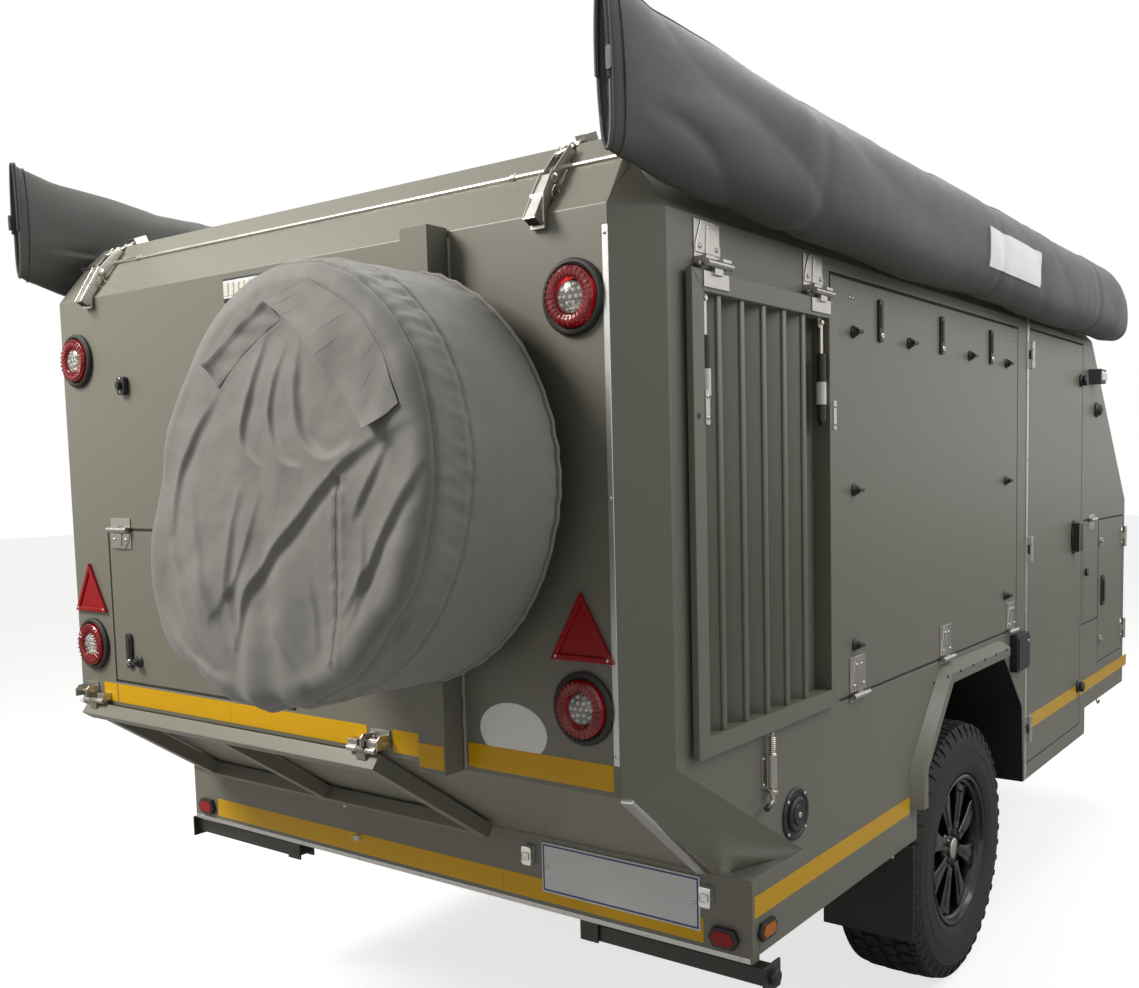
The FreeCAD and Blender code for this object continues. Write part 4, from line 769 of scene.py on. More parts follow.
def clean_copy(node):
    """A node's mesh with its loose triangles joined into flat faces."""
    mesh = bmesh.new()
    mesh.from_mesh(NODES[node].data)
    bmesh.ops.remove_doubles(mesh, verts=mesh.verts, dist=0.00002)
    bmesh.ops.dissolve_limit(mesh, angle_limit=math.radians(0.5), verts=mesh.verts, edges=mesh.edges)
    return mesh


def skinned(mesh, node, body, words, width, sharp):
    """Rounds a copy's edges and puts it in its node's place."""
    soften(mesh, width / 1000, 2, sharp)
    data = bpy.data.meshes.new(node + "_skin")
    mesh.to_mesh(data)
    mesh.free()
    return finished(node + "_skin", data, body, words, [node])


def panel_skin(node, body, ahead):
    """A panel of the shell: paint outside, board inside and aluminium on its cut edges."""
    mesh = clean_copy(node)
    for face in mesh.faces:
        start = face.calc_center_median() + face.normal * 0.001
        distance = ahead.ray_cast(start, face.normal, 6.0)[3]
        face.material_index = 0 if distance is None else 2 if distance < 0.06 else 1
    return skinned(mesh, node, body, ["paint", "board", "aluminium"], 1.6, 12)


def soft_copy(node, body, words, width=1.0, pick=None):
    """A copy of a node with its sharp edges rounded. pick gives a face's finish from its middle."""
    mesh = clean_copy(node)
    for face in mesh.faces if pick else ():
        middle = face.calc_center_median()
        face.material_index = pick(middle.x * 1000, (middle.y - REAR) * 1000, middle.z * 1000)
    return skinned(mesh, node, body, words, width, 40)


SIDE = on_side(0, 0)
PLAN = seat((HALF, 0, 0), (0, 1, 0), (1, 0, 0))
PANEL = on_rear(0, 0)
APRON_BACK = 363
APRON = on_rear(0, 0, station=APRON_BACK)
FACE = seat((0, FRONT, 0), (-1, 0, 0), (0, 0, 1))


CAST_RISE = 5.5


def rectangle(left, low, right, high):
    """The corners of a rectangle."""
    return [(left, low), (right, low), (right, high), (left, high)]


def mitred(form, left, low, right, high, width, back, front, soft=1.0, finish=0, place=SIDE):
    """A frame of four members whose corners are mitred."""
    outer = rectangle(left, low, right, high)
    inner = rectangle(left + width, low + width, right - width, high - width)
    for k in range(4):
        n = (k + 1) % 4
        form.slab([outer[k], outer[n], inner[n], inner[k]], back, front, soft, finish, place)


def seal_and_gap_shade(name, left, low, right, high, place, side=1):
    """A rubber bulb in the gap around a hatch. Its dark rubber also stands in as painted shade for the depth
    of the gap.
    """
    form = Form()
    corners = rectangle(left - 3.5, low - 3.5, right + 3.5, high + 3.5)
    path = []
    for k, corner in enumerate(corners):
        for other in (corners[k - 1], corners[(k + 1) % 4]):
            run = (Vector(other) - Vector(corner)).normalized()
            path.append((*(Vector(corner) + run * 6), -5))
    # Dark rubber sunk in the gap: partly a real seal, partly painted shade of the gap.
    form.pipe(path, 3.2, 8, closed=True, place=place)
    piece(name, form, "body", ["rubber"], side)


def seals_and_gap_shade():
    """The rubber seals around every hatch and the door. Their dark rubber also paints the shade in these gaps.
    """
    for side, word in SIDES:
        seal_and_gap_shade(f"kitchen_seal_{word}", 754, 1035, 2150, 2027, SIDE, side)
        seal_and_gap_shade(f"nose_seal_{word}", 3270, 747, 3690, 1340, SIDE, side)
    seal_and_gap_shade("door_seal", 2285, 540, 2980, 2037, SIDE)
    seal_and_gap_shade("locker_seal", 3020, 937, 3256, 1347, SIDE)
    seal_and_gap_shade("rear_hatch_seal", -746, 1057, -10, 1455, PANEL)


def strut(form, station, edge):
    """A gas strut in a louvre hatch: rod, cylinder with a blank label, and an eye at each end."""
    form.rod((station, 1826, 9), (station, 1906, 9), 4.6, 14, 2, place=SIDE)
    form.rod((station, 1690, 9), (station, 1841, 9), 10.6, 22, 1, place=SIDE)
    form.rod((station, 1728, 9), (station, 1778, 9), 11.1, 22, 3, 0.2, SIDE)
    ear = [(station - 9, 1898), (station + 9, 1898), (station + 12, 1921), (station - 12, 1921)]
    form.slab(ear, 5, 9, 1.0, 4, SIDE)
    form.block((min(edge, station), 1909, 2), (max(edge, station), 1921, 6), 0.6, 4, SIDE)
    form.turned([(0, 0), (0, 6.5), (5, 6.5), (6, 5), (6, 0)], on_side(station, 1910, 9), 6, 2)
    form.turned([(0, 0), (0, 7), (9, 7), (11, 4), (11, 0)], on_side(station, 1688, 4), 16, 1)


def louvre_hatch(side, word):
    """A mitred frame with a gas strut at each end and five slats between them."""
    body = f"louvre_hatch_{word}"
    form = Form()
    mitred(form, 138, 1035, 745, 1960, 40, 6, 21, 1.6)
    mitred(form, 174, 1071, 709, 1924, 4, -26, 8, 0.6)
    form.slab(rectangle(596, 1076, 704, 1919), -24, -21, 0.5, 0, SIDE)
    strut(form, 197, 178)
    strut(form, 686, 705)
    for station in (184, 728):
        form.slab([(x + station, y + 1705) for x, y in rounded(15, 66, 3)], 21, 23, 0.5, 4, SIDE)
        screws(body, SIDE, [(station, 1705 + dy, 23) for dy in (-20, 20)], 4.5, side)
    form.turned([(0, 0), (0, 6), (1.2, 5), (1.2, 0)], on_side(154, 1688, 21), 16, 1)
    finishes = ["paint", "plastic", "polished", "sticker", "stainless"]
    piece(f"{body}_frame", form, body, finishes, side, [body])
    blade = Form()
    turn = math.radians(41)
    back, front = Vector((181, -44)), Vector((242, 9))
    thick = Vector((-math.sin(turn), math.cos(turn))) * 3
    blade.slab([back, front, front + thick, back + thick], -1923, -1072, 0.5, 0, PLAN)
    nose = Matrix.Rotation(math.radians(12), 3, "Z")
    lip = [(nose @ Vector((x, y, 0))).xy + front + Vector((2, 0)) for x, y in rounded(16, 12, 5, 4)]
    blade.slab(lip, -1922, -1073, 0.5, 0, PLAN)
    thing = grow(f"louvre_slats_{word}", as_mesh("blade", blade, side), "row", "paint", Count=5,
                 Step=(0, 0.0874, 0))
    grown_piece(thing, body)


def cast(form, place, half, near, reach, tip):
    """The raised, tapered casting of a hinge leaf, with a rib down its middle."""
    outline = [(-half, near), (half, near), (half, near + 16), (tip, reach), (-tip, reach), (-half, near + 16)]
    form.slab(outline, 2.5, CAST_RISE, 1.2, 0, place)
    rib = [(-half * 0.28, near), (half * 0.28, near), (tip * 0.3, reach - 8), (-tip * 0.3, reach - 8)]
    form.slab(rib, CAST_RISE - 1, CAST_RISE + 2.5, 1.0, 0, place)


def cap_ends(form, place, half):
    """Round heads on the two ends of a hinge pin."""
    for way in (-1, 1):
        along = place @ seat((way * half, 0, 12), (0, 0, 1), (0, -way, 0))
        form.turned([(0, 0), (0, 5.6), (1.6, 5), (2.4, 3), (2.4, 0)], along, 12)


def castings(name, body, spots, half, near, reach, tip, side=1, bolts=()):
    """The castings of one body's hinge leaves. spots are places with local X along the pin."""
    form = Form()
    for place in spots:
        cast(form, place, half, near, reach, tip)
        cap_ends(form, place, half)
        screws(body, place, [(x, y, CAST_RISE) for x, y in bolts], 5.0, side)
    return piece(name, form, body, ["stainless"], side)


def hinge_castings():
    for side, word in SIDES:
        kitchen = [on_side(s, 1031.5) for s in (888, 1487, 2090)]
        castings(f"kitchen_hinge_castings_{word}", f"kitchen_hatch_{word}", kitchen, 42, 9, 94, 17, side,
                 [(-26, 24), (26, 24), (-12, 74), (12, 74)])
        louvre = [on_side(s, 1972) for s in (221, 662)]
        castings(f"louvre_hinge_castings_{word}", "body", louvre, 44, 22, 84, 24, side,
                 [(-30, 34), (30, 34), (0, 72)])
        nose = [seat((HALF, 3693.5, z), (0, 0, 1), (0, -1, 0)) for z in (837, 1250)]
        castings(f"nose_hinge_castings_{word}", f"nose_hatch_{word}", nose, 42, 9, 39, 26, side,
                 [(-28, 26), (28, 26)])
    door = [seat((HALF, 2281.5, z), (0, 0, -1), (0, 1, 0)) for z in (661, 1288.5, 1952)]
    castings("door_hinge_castings", "entry_door", door, 42, 9, 44, 22, 1, [(-26, 28), (26, 28)])
    rear = [on_rear(x, 1458.5) @ Matrix.Rotation(math.pi, 4, "Z") for x in (-686, -70)]
    castings("rear_hatch_castings", "rear_hatch", rear, 42, 9, 49, 22, 1, [(-26, 26), (26, 26)])


def latch(form, place, height=105):
    """A black compression latch with a key barrel at its lower end."""
    form.slab(rounded(26, height, 9), 0, 7, 1.6, 0, place)
    form.slab([(x, y + height * 0.1) for x, y in rounded(15, height * 0.55, 5)], 6, 9.5, 1.2, 0, place)
    form.turned([(0, 0), (0, 8), (9, 8), (10.5, 6.5), (10.5, 2), (8.5, 1.8), (8.5, 0)],
                place @ Matrix.Translation((0, 12 - height / 2 + 4, 0)), 20, 1)


def turn_knob(form, place, radius=12):
    """A round base with a bar to turn."""
    base = [(0, 0), (0, radius + 3), (3, radius + 3), (6, radius), (14, radius - 3), (17, 0)]
    form.turned(base, place, 24, 0)
    form.slab(rounded(radius * 2.4, 9, 4), 13, 23, 1.6, 0, place)


def kitchen_fittings(side, word):
    """The latches and turn knobs of a kitchen hatch."""
    body = f"kitchen_hatch_{word}"
    form = Form()
    for station in (1029, 1452, 1875):
        latch(form, on_side(station, 1947))
    corners = [(s, z) for s in (874, 2030) for z in (1907, 1531, 1155)]
    for station, height in corners + [(1219, 1907), (1685, 1907)]:
        turn_knob(form, on_side(station, height))
    piece(f"kitchen_latches_{word}", form, body, ["plastic", "polished"], side)
    screws(body, SIDE, [(s + dx, 1986, 0) for s in (864, 2048) for dx in (-9, 9)], 5.0, side)


def oval(width, height, steps=40):
    """The outline of an oval about its middle."""
    return [(width / 2 * math.cos(math.tau * k / steps), height / 2 * math.sin(math.tau * k / steps))
            for k in range(steps)]


def door_and_lockers():
    """Handles and latches of the door and the small hatches."""
    form = Form()
    handle = on_side(2865, 1296)
    form.slab(oval(66, 128), 0, 9, 3, 0, handle)
    form.slab(rounded(34, 92, 12), 8, 22, 4, 0, handle)
    form.turned([(0, 0), (0, 7), (12, 7), (13, 5), (13, 0)], handle @ Matrix.Translation((0, -52, 0)), 16, 1)
    bolt_knob = [(0, 0), (0, 24), (6, 24), (10, 19), (22, 21), (27, 17), (27, 0)]
    for height in (1900, 695):
        form.turned(bolt_knob, on_side(2950, height), 28, 0)
    piece("door_handle", form, "entry_door", ["plastic", "polished"])
    form = Form()
    form.slab(rounded(30, 30, 7), 0, 10, 2, 0, on_side(3060, 1142))
    form.turned([(10, 0), (10, 9), (14, 9), (14, 0)], on_side(3060, 1142), 20, 1)
    piece("locker_latch", form, "locker_hatch", ["plastic", "polished"])
    for side, word in SIDES:
        form = Form()
        handle = on_side(3330, 1043)
        form.slab(rounded(42, 130, 16), 0, 8, 3, 0, handle)
        form.slab(rounded(20, 92, 8), 7, 13, 2, 0, handle)
        for height in (837, 1250):
            form.slab(rounded(46, 34, 6), 0, 5, 1.2, 1, on_side(3296, height))
            form.slab(rounded(20, 12, 4), 5, 16, 2, 1, on_side(3288, height))
            screws(f"nose_hatch_{word}", on_side(3296, height), [(12, 9, 5), (12, -9, 5)], 4.0, side)
        piece(f"nose_latches_{word}", form, f"nose_hatch_{word}", ["plastic", "stainless"],
              side)
    form = Form()
    latch(form, on_rear(-674, 1140), 92)
    turn_knob(form, on_rear(-635, 1114), 13)
    piece("rear_hatch_latch", form, "rear_hatch", ["plastic", "polished"])
    form = Form()
    form.slab(rounded(34, 46, 8), 0, 14, 3, 0, on_rear(-631, 1828))
    form.slab(rounded(14, 20, 5), 13, 24, 2, 0, on_rear(-631, 1828))
    piece("rear_hatch_keeper", form, "body", ["plastic"])
    screws("body", on_rear(-631, 1828), [(0, 17, 14), (0, -17, 14)], 3.5)


def strip(form, start, end, low, high, place):
    """A band of tape along a wall, cut in lengths with a hair's gap between them."""
    lengths = max(1, round((end - start) / 620))
    step = (end - start) / lengths
    for k in range(lengths):
        band = rectangle(start + k * step, low, start + (k + 1) * step - 0.8, high)
        form.slab(band, 0.05, 0.7, 0.2, 0, place)


def markings():
    """Reflective tape, trims, the bare plate and sticker, and the bead of sealant."""
    form = Form()
    for start, end in ((-812, -748), (-744, 238), (319, 399), (542, 911)):
        strip(form, start, end, 996, 1046, PANEL)
    strip(form, 457, 528, 996, 1046, on_rear(0, 0, 55))
    strip(form, -875, 869, 566, 620, APRON)
    strip(form, 372, 1220, 641, 688, SIDE)
    strip(form, 2990, 3262, 652, 702, SIDE)
    strip(form, 3262, 3800, 652, 702, SIDE)
    piece("marking_tape_right", form, "body", ["tape"])
    form = Form()
    strip(form, 372, 1220, 641, 688, SIDE)
    strip(form, 2300, 3800, 652, 702, SIDE)
    piece("marking_tape_left", form, "body", ["tape"], side=-1)
    form = Form()
    strip(form, 2332, 2974, 652, 702, SIDE)
    piece("marking_tape_door", form, "entry_door", ["tape"])

    form = Form()
    form.slab(rectangle(913, 1047, 925, 2024), 0, 2.6, 0.6, 0, PANEL)
    screws("body", PANEL, [(919, z, 2.6) for z in (1064, 1540, 2010)], 3.6)
    form.slab(rectangle(2251, 483, 2273, 2130), 0, 2.4, 0.6, 0, SIDE)
    screws("body", SIDE, [(2262, z, 2.4) for z in range(560, 2130, 260)], 3.6)
    form.slab(rectangle(-986, 545, 986, 557), 0, 2.4, 0.6, 0, APRON)
    screws("body", APRON, [(x, 551, 2.4) for x in range(-960, 961, 240)], 3.4)
    piece("trims", form, "body", ["aluminium"])
    form = Form()
    for side in (-1, 1):
        form.block((min(side * 850, side * 986), 366, 714), (max(side * 850, side * 986), 520, 724), 1, 0)
    piece("undercut_closers", form, "body", ["paint"])
    for side, word in SIDES:
        form = Form()
        start, end = Vector((937, 0, 986)), Vector((913, 363, 725))
        form.block((-13, -3, 4), (13, 6, (end - start).length - 8), 2.6, 0,
                   seat(start, (1, 0.18, 0), (end - start).cross(Vector((1, 0.18, 0)))))
        piece(f"undercut_trim_{word}", form, "body", ["aluminium"], side)

    form = Form()
    form.slab(rectangle(415, 591, 862, 712), 0, 3.4, 1.0, 0, APRON)
    mitred(form, 419, 595, 858, 708, 4, 3.2, 3.9, 0.2, 1, APRON)
    piece("plate_blank", form, "body", ["plate_white", "plate_blue"], replaces=["number_plate"])
    screws("body", APRON, [(x, 652, 3.6) for x in (432, 846)], 5.0)
    form = Form()
    form.slab(oval(175, 115, 56), 0.05, 0.6, 0.2, 0, on_rear(664, 1081))
    piece("blank_sticker", form, "body", ["sticker"])
    form = Form()
    form.pipe([(534 + 0.8 * math.sin(k * 2.1), -1, 990 + k * 20) for k in range(54)],
              [3.4 + 0.5 * math.sin(k * 1.7) for k in range(54)], 8)
    form.pipe([(451 + 0.6 * math.sin(k * 1.3), -1, 990 + k * 20) for k in range(54)], 2.6, 8)
    piece("post_sealant", form, "body", ["sealant"])


LAMP_ACROSS = 845


def tail_lamp(form, across, height):
    """A round lamp: a grommet, a ribbed red ring and a clear middle over its diodes."""
    place = on_rear(across, height)
    form.turned([(0, 0), (0, 70), (7, 70), (11, 66.5), (12, 62), (9, 57.5), (4, 56.5), (4, 0)], place, 56, 0)
    form.turned([(4.5, 31), (4.5, 56), (15, 55), (20, 50), (21, 42), (17, 34)], place, 56, 1, True)
    for k in range(28):
        rib = place @ Matrix.Rotation(math.tau * k / 28, 4, "Z")
        form.block((35, -1.6, 17), (54, 1.6, 21.6), 0.8, 1, rib, 1)
    form.turned([(4.2, 0), (4.2, 30), (13, 29.5), (18, 23), (20.5, 12), (21, 0)], place, 40, 2)
    for radius, count in ((0, 1), (12, 6), (22, 10)):
        for k in range(count):
            spot = place @ Matrix.Rotation(math.tau * k / count, 4, "Z") @ Matrix.Translation((radius, 0, 0))
            form.turned([(4, 0), (4, 3.4), (9, 3), (11, 0)], spot, 10, 3)


def hexagon(point, shoulder, half):
    """A six-sided outline with a point at each end."""
    return [(-point, 0), (-shoulder, half), (shoulder, half), (point, 0), (shoulder, -half),
            (-shoulder, -half)]


def lamps_and_reflectors():
    """Tail lamps, triangles, markers, plate lamps and the work lamp."""
    form = Form()
    for across in (-LAMP_ACROSS, LAMP_ACROSS):
        for height in (1147, 1905):
            tail_lamp(form, across, height)
    piece("tail_lamps_dressed", form, "body", ["rubber", "lens_red", "lens_clear", "led"],
          replaces=["tail_lamps"])
    form = Form()
    for across in (-LAMP_ACROSS, LAMP_ACROSS):
        outer = [(-75, 1236), (75, 1236), (0, 1366)]
        inner = [(-55, 1247.5), (55, 1247.5), (0, 1342.8)]
        place = on_rear(across, 0)
        form.slab(inner, 0, 5, 1.2, 0, place)
        for k in range(3):
            n = (k + 1) % 3
            form.slab([outer[k], outer[n], inner[n], inner[k]], 0, 8.5, 1.6, 0, place)
        screws("body", place, [(-62, 1243, 8), (62, 1243, 8)], 3.4)
        marker = on_rear(math.copysign(922, across), 590, station=APRON_BACK)
        outline = hexagon(38, 26, 22)
        form.slab(outline, 0, 12, 2, 1, marker)
        form.slab([(x * 0.76, y * 0.70) for x, y in outline], 11, 14, 1.2, 0, marker)
    piece("reflectors_dressed", form, "body", ["red_reflex", "plastic"], replaces=["reflectors"])
    for side, word in SIDES:
        form = Form()
        marker = on_side(420, 605)
        form.slab(hexagon(38, 26, 20), 0, 10, 2, 1, marker)
        form.slab(hexagon(28, 20, 13), 9, 12.5, 1.2, 0, marker)
        piece(f"side_marker_{word}", form, "body", ["amber_reflex", "plastic"], side=side)
    form = Form()
    for across in (379, 883):
        place = on_rear(across, 675, station=APRON_BACK)
        form.slab(rounded(30, 46, 6), 0, 20, 3, 0, place)
        form.slab(rounded(22, 20, 5), 19, 23, 1.5, 1, place)
    form.block((-250, 352, 602), (-230, 363, 616), 2, 2)
    piece("plate_lamps", form, "body", ["mirror", "lens_clear", "white_plastic"])
    form = Form()
    table = seat((0, 0, 0), (1, 0, 0), (0, -1, 0))
    form.slab([(-172, 0), (98, 0), (68, 40), (-142, 40)], -2040, -1986, 2.5, 0, table)
    form.slab([(-138, 39), (64, 39), (64, 42), (-138, 42)], -2033, -1993, 0.8, 1, table)
    for k in range(10):
        form.block((-134 + k * 20, -44, 1998), (-119 + k * 20, -41, 2028), 1.5, 2)
    piece("work_lamp_dressed", form, "body", ["plastic", "mirror", "led"],
          replaces=["work_lamp"])


def clamp(form, across):
    """A toggle clamp that holds the lifting roof down: hook bolt, body, lever and base."""
    plane = facing_right((across, 0, 0))
    spots = ((-6, 2034), (27, 2130), (80, 2195), (155, 2236), (-24, 2046))
    base, pivot, top, hook, tip = (Vector(p) for p in spots)

    def bar(start, end, width, low, high, finish=0, narrow=1.0):
        run = (end - start).normalized()
        off = Vector((-run.y, run.x)) * width / 2
        outline = [start - off, end - off * narrow, end + off * narrow, start + off]
        form.slab(outline, low, high, 1.0, finish, plane)

    for low in (-14, 11):
        bar(pivot - Vector((8, 10)), top + Vector((3, 3)), 25, low, low + 3, narrow=0.75)
        bar(pivot + Vector((4, 10)), tip, 26, low * 1.1, low * 1.1 + 2.6, narrow=0.9)
    bar(pivot + Vector((-5, 8)), tip + Vector((-8, 3)), 4, -15, 15)
    bar(tip + Vector((3, 3)), tip + Vector((1, 0)), 20, -12, 12, 2)
    bar(base, Vector((-6, 2098)), 8, -17, 17)
    bar(Vector((-2, 2050)), Vector((34, 2120)), 9, -8, 8)
    form.rod(plane @ Vector((*pivot, -17)), plane @ Vector((*pivot, 17)), 7, 18, 1)
    for way in (-1, 1):
        place = plane @ seat((*pivot, 14 * way), (1, 0, 0), (0, way, 0))
        form.turned([(0, 0), (0, 10.5), (3, 10), (5.5, 6), (6, 0)], place, 20, 1)
    run = (hook - top).normalized()
    form.rod(plane @ Vector((*(top - run * 34), 0)), plane @ Vector((*(hook - run * 12), 0)), 4.2, 14, 1)
    for reach in (8, 30, 64):
        spot = top + run * reach
        place = plane @ seat((*spot, 0), (0, 0, 1), (-run.y, run.x, 0))
        form.turned([(-4, 0), (-4, 8), (4, 8), (4, 0)], place, 6, 1)
    bar(hook - Vector((26, 15)), hook - Vector((-8, -2)), 26, -13, 13, 0, 0.8)
    loop = [plane @ Vector((22 + 11 * math.sin(a), 2104 - 12 * math.cos(a), 21 + 2 * math.sin(2 * a)))
            for a in (math.tau * k / 18 for k in range(18))]
    form.pipe(loop, 1.3, 6, 1, True)
    bail = [(*pivot, 9), (52, 2152, 9.5), (84, 2182, 8), (92, 2194, 0), (84, 2182, -8), (52, 2152, -9.5),
            (*pivot, -9)]
    form.pipe([plane @ Vector(p) for p in bail], 2.2, 8, 1)


def roof_bar():
    """The bar across the roof's rear edge, on its clamps."""
    form = Form()
    form.rod((-922, 71, 2160), (922, 71, 2160), 6, 20, 1)
    for way in (-1, 1):
        form.rod((way * 918, 71, 2160), (way * 934, 71, 2160), 8, 20, 2, 2.0)
        form.rod((way * 640, 71, 2160), (way * 652, 71, 2160), 8.5, 20, 0, 1.0)
    for across in (-770, 770):
        clamp(form, across)
    piece("roof_bar_dressed", form, "roof", ["stainless", "polished", "rubber"],
          replaces=["roof_bar"])


def helix(centre, radius, low, high, turns, per=14):
    """The points of a coil about an upright line."""
    count = int(turns * per)
    angles = [math.tau * k / per for k in range(count + 1)]
    return [(centre[0] + radius * math.cos(angle), centre[1] + radius * math.sin(angle),
             low + (high - low) * k / count) for k, angle in enumerate(angles)]


CAP = [(0, 0), (0, 16), (10, 18), (22, 15), (26, 0)]


def wall_fittings():
    """Small fittings on the outside of the right wall, and the grab handles on the front corners."""
    form = Form()
    vent = on_side(557, 819)
    form.turned([(0, 0), (0, 59), (3, 59), (6, 56), (6, 50), (3.5, 48), (3.5, 0)], vent, 40, 0)
    form.turned([(3, 0), (3, 40), (9, 39), (12, 34), (10, 27), (10, 24), (14, 22), (14, 0)], vent, 36, 0)
    form.turned([(13, 0), (13, 7), (15, 6), (15, 0)], vent, 20, 2)
    screws("body", vent, [(54 * math.cos(a), 54 * math.sin(a), 6) for a in (0.8, 2.4, 3.9, 5.5)], 4.0)
    form.slab([(430 + x, 948 + y) for x, y in rounded(44, 72, 5)], 0, 3, 0.8, 1, SIDE)
    form.rod((430, 880, 15), (430, 1032, 15), 5, 16, 2, place=SIDE)
    form.rod((430, 912, 15), (430, 986, 15), 10, 18, 1, 1.5, SIDE)
    spring = [(x + 430, z, y + 15) for x, y, z in helix((0, 0), 7.4, 986, 1024, 9)]
    form.pipe(spring, 1.3, 6, 2, place=SIDE)
    form.rod((430, 900, 15), (430, 908, 15), 11.5, 18, 1, 1.0, SIDE)
    form.rod((430, 884, 15), (400, 878, 20), 4, 10, 2, place=SIDE)
    form.rod((408, 880, 19), (390, 876, 22), 6.5, 14, 0, 2.0, SIDE)
    screws("body", on_side(430, 948), [(-15, 28, 3), (15, 28, 3), (-15, -28, 3), (15, -28, 3)], 3.6)
    box = on_side(2155, 952)
    form.slab(rounded(135, 125, 10), 0, 26, 3, 0, box)
    form.slab(rounded(118, 108, 8), 25, 30, 1.6, 0, box)
    form.turned([(28, 0), (28, 6), (32, 5), (33, 0)], box @ Matrix.Translation((38, 34, 0)), 16, 3)
    screws("body", box, [(x, y, 30) for x in (-50, 50) for y in (-45, 45)], 3.2, kind="plastic")
    lamp = seat((HALF, 3069, 1896), (0, 1, 0), (1, 0, 0))
    form.slab([(0, 0), (110, 0), (96, 46), (14, 46)], -56, 0, 3, 0, lamp)
    form.slab([(16, 45), (94, 45), (94, 49), (16, 49)], -46, -12, 1, 4, lamp)
    for k in range(5):
        form.block((HALF + 48, 3088 + k * 16, 1910), (HALF + 51, 3100 + k * 16, 1936), 1.2, 3)
    knob = on_side(3196, 1795)
    dial = [(0, 0), (0, 30), (6, 30), (12, 24), (20, 22), (24, 17), (24, 9), (19, 8), (19, 0)]
    form.turned(dial, knob, 32, 0)
    for across in (-834, 834):
        grip = FACE @ Matrix.Translation((-across, 0, 0))
        bend = [(0, 1096, 0), (0, 1098, 26), (0, 1108, 41), (0, 1124, 45), (0, 1216, 45), (0, 1232, 41),
                (0, 1242, 26), (0, 1244, 0)]
        form.pipe(bend, 8, 12, 0, place=grip)
        for height in (1096, 1244):
            form.slab([(x, height + y) for x, y in rounded(36, 30, 10)], 0, 5, 1.5, 0, grip)
            screws("body", grip, [(-11, height, 5), (11, height, 5)], 3.0)
    hook = [(960, 3397, 585), (960, 3397, 566), (962, 3390, 552), (968, 3380, 546), (974, 3372, 552),
            (976, 3370, 562)]
    form.pipe(hook, 4, 10, 2)
    form.turned(CAP, FACE @ Matrix.Translation((-820, 1340, 0)), 24, 0)
    finishes = ["plastic", "stainless", "polished", "led", "mirror"]
    piece("wall_fittings_dressed", form, "body", finishes)


AXLE = (1700, 395)


def lathe_x(form, profile, sides=96, finish=0, closed=True):
    """A profile of (across, radius) turned about the X axis through the origin."""
    form.turned(profile, facing_right((0, 0, 0)), sides, finish, closed)


def carcass(form):
    """The tyre without its tread blocks, its outer wall at x = 0 and the rest at negative x."""
    outer = [(-22, 229), (-9, 236), (-3, 250), (-1.6, 262), (-3, 264), (-1.4, 266), (-0.4, 284), (-0.2, 304),
             (-2, 306), (-0.4, 308), (-1, 326), (-4, 342), (-2.4, 345), (-4.6, 348), (-9, 364), (-18, 376),
             (-30, 381)]
    inner = [(-265 - x, r) for x, r in reversed(outer)]
    crown = [(-70, 384.5), (-132.5, 385.6), (-195, 384.5)]
    lathe_x(form, outer + crown + inner, 112)


TREAD_RADIUS, PITCHES = 390, 46


def tread_pitch():
    """One pitch of the tread: two centre rows, two middle rows and the shoulder lugs on both sides."""
    form = Form()
    pitch = math.tau * TREAD_RADIUS / PITCHES

    def lug(across, along, outline, top=395.0, foot=381.0):
        angle = along * pitch / TREAD_RADIUS
        place = Matrix.Rotation(-angle, 4, "X") @ seat((across, 0, 0), (1, 0, 0), (0, 1, 0))
        form.slab([(x, y * pitch) for x, y in outline], foot, top, 1.6, 0, place, 1)
    diamond = [(-21, -0.18), (-6, -0.42), (17, -0.34), (21, 0.18), (6, 0.42), (-17, 0.34)]
    for across, along in ((-108, 0.0), (-157, 0.5)):
        lug(across, along, diamond)
    outer = [(-19, -0.40), (14, -0.30), (20, 0.10), (15, 0.38), (-15, 0.30), (-21, -0.06)]
    lug(-62, 0.42, outer, 393.5)
    lug(-203, 0.92, [(-x, y) for x, y in reversed(outer)], 393.5)
    for side in (0, 1):
        for k in (0, 1):
            angle = (k * 0.5 + 0.12 + side * 0.25) * pitch / TREAD_RADIUS
            across, way = ((-27, 1), (-238, -1))[side]
            turn = Matrix.Rotation(-angle, 4, "X") @ seat((across, 0, 0), (1, 0, 0), (0, 1, 0))
            half = 0.19 * pitch
            foot = 20 if k == 0 else 14
            rows = []
            for out, top, under_out, under, narrow in (
                    (-13, 391.5, -13, 380, 1), (9, 387.5, 2, 376, 1), (foot, 372, foot - 8, 362, 0.8),
                    (foot + 4.5, 350, foot - 3, 347, 0.6)):
                wide = half * narrow
                corners = ((out, -wide, top), (out, wide, top), (under_out, wide, under),
                           (under_out, -wide, under))
                rows.append([turn @ Vector((way * x, y, z)) for x, y, z in corners])
            form.rings(rows)
    return form


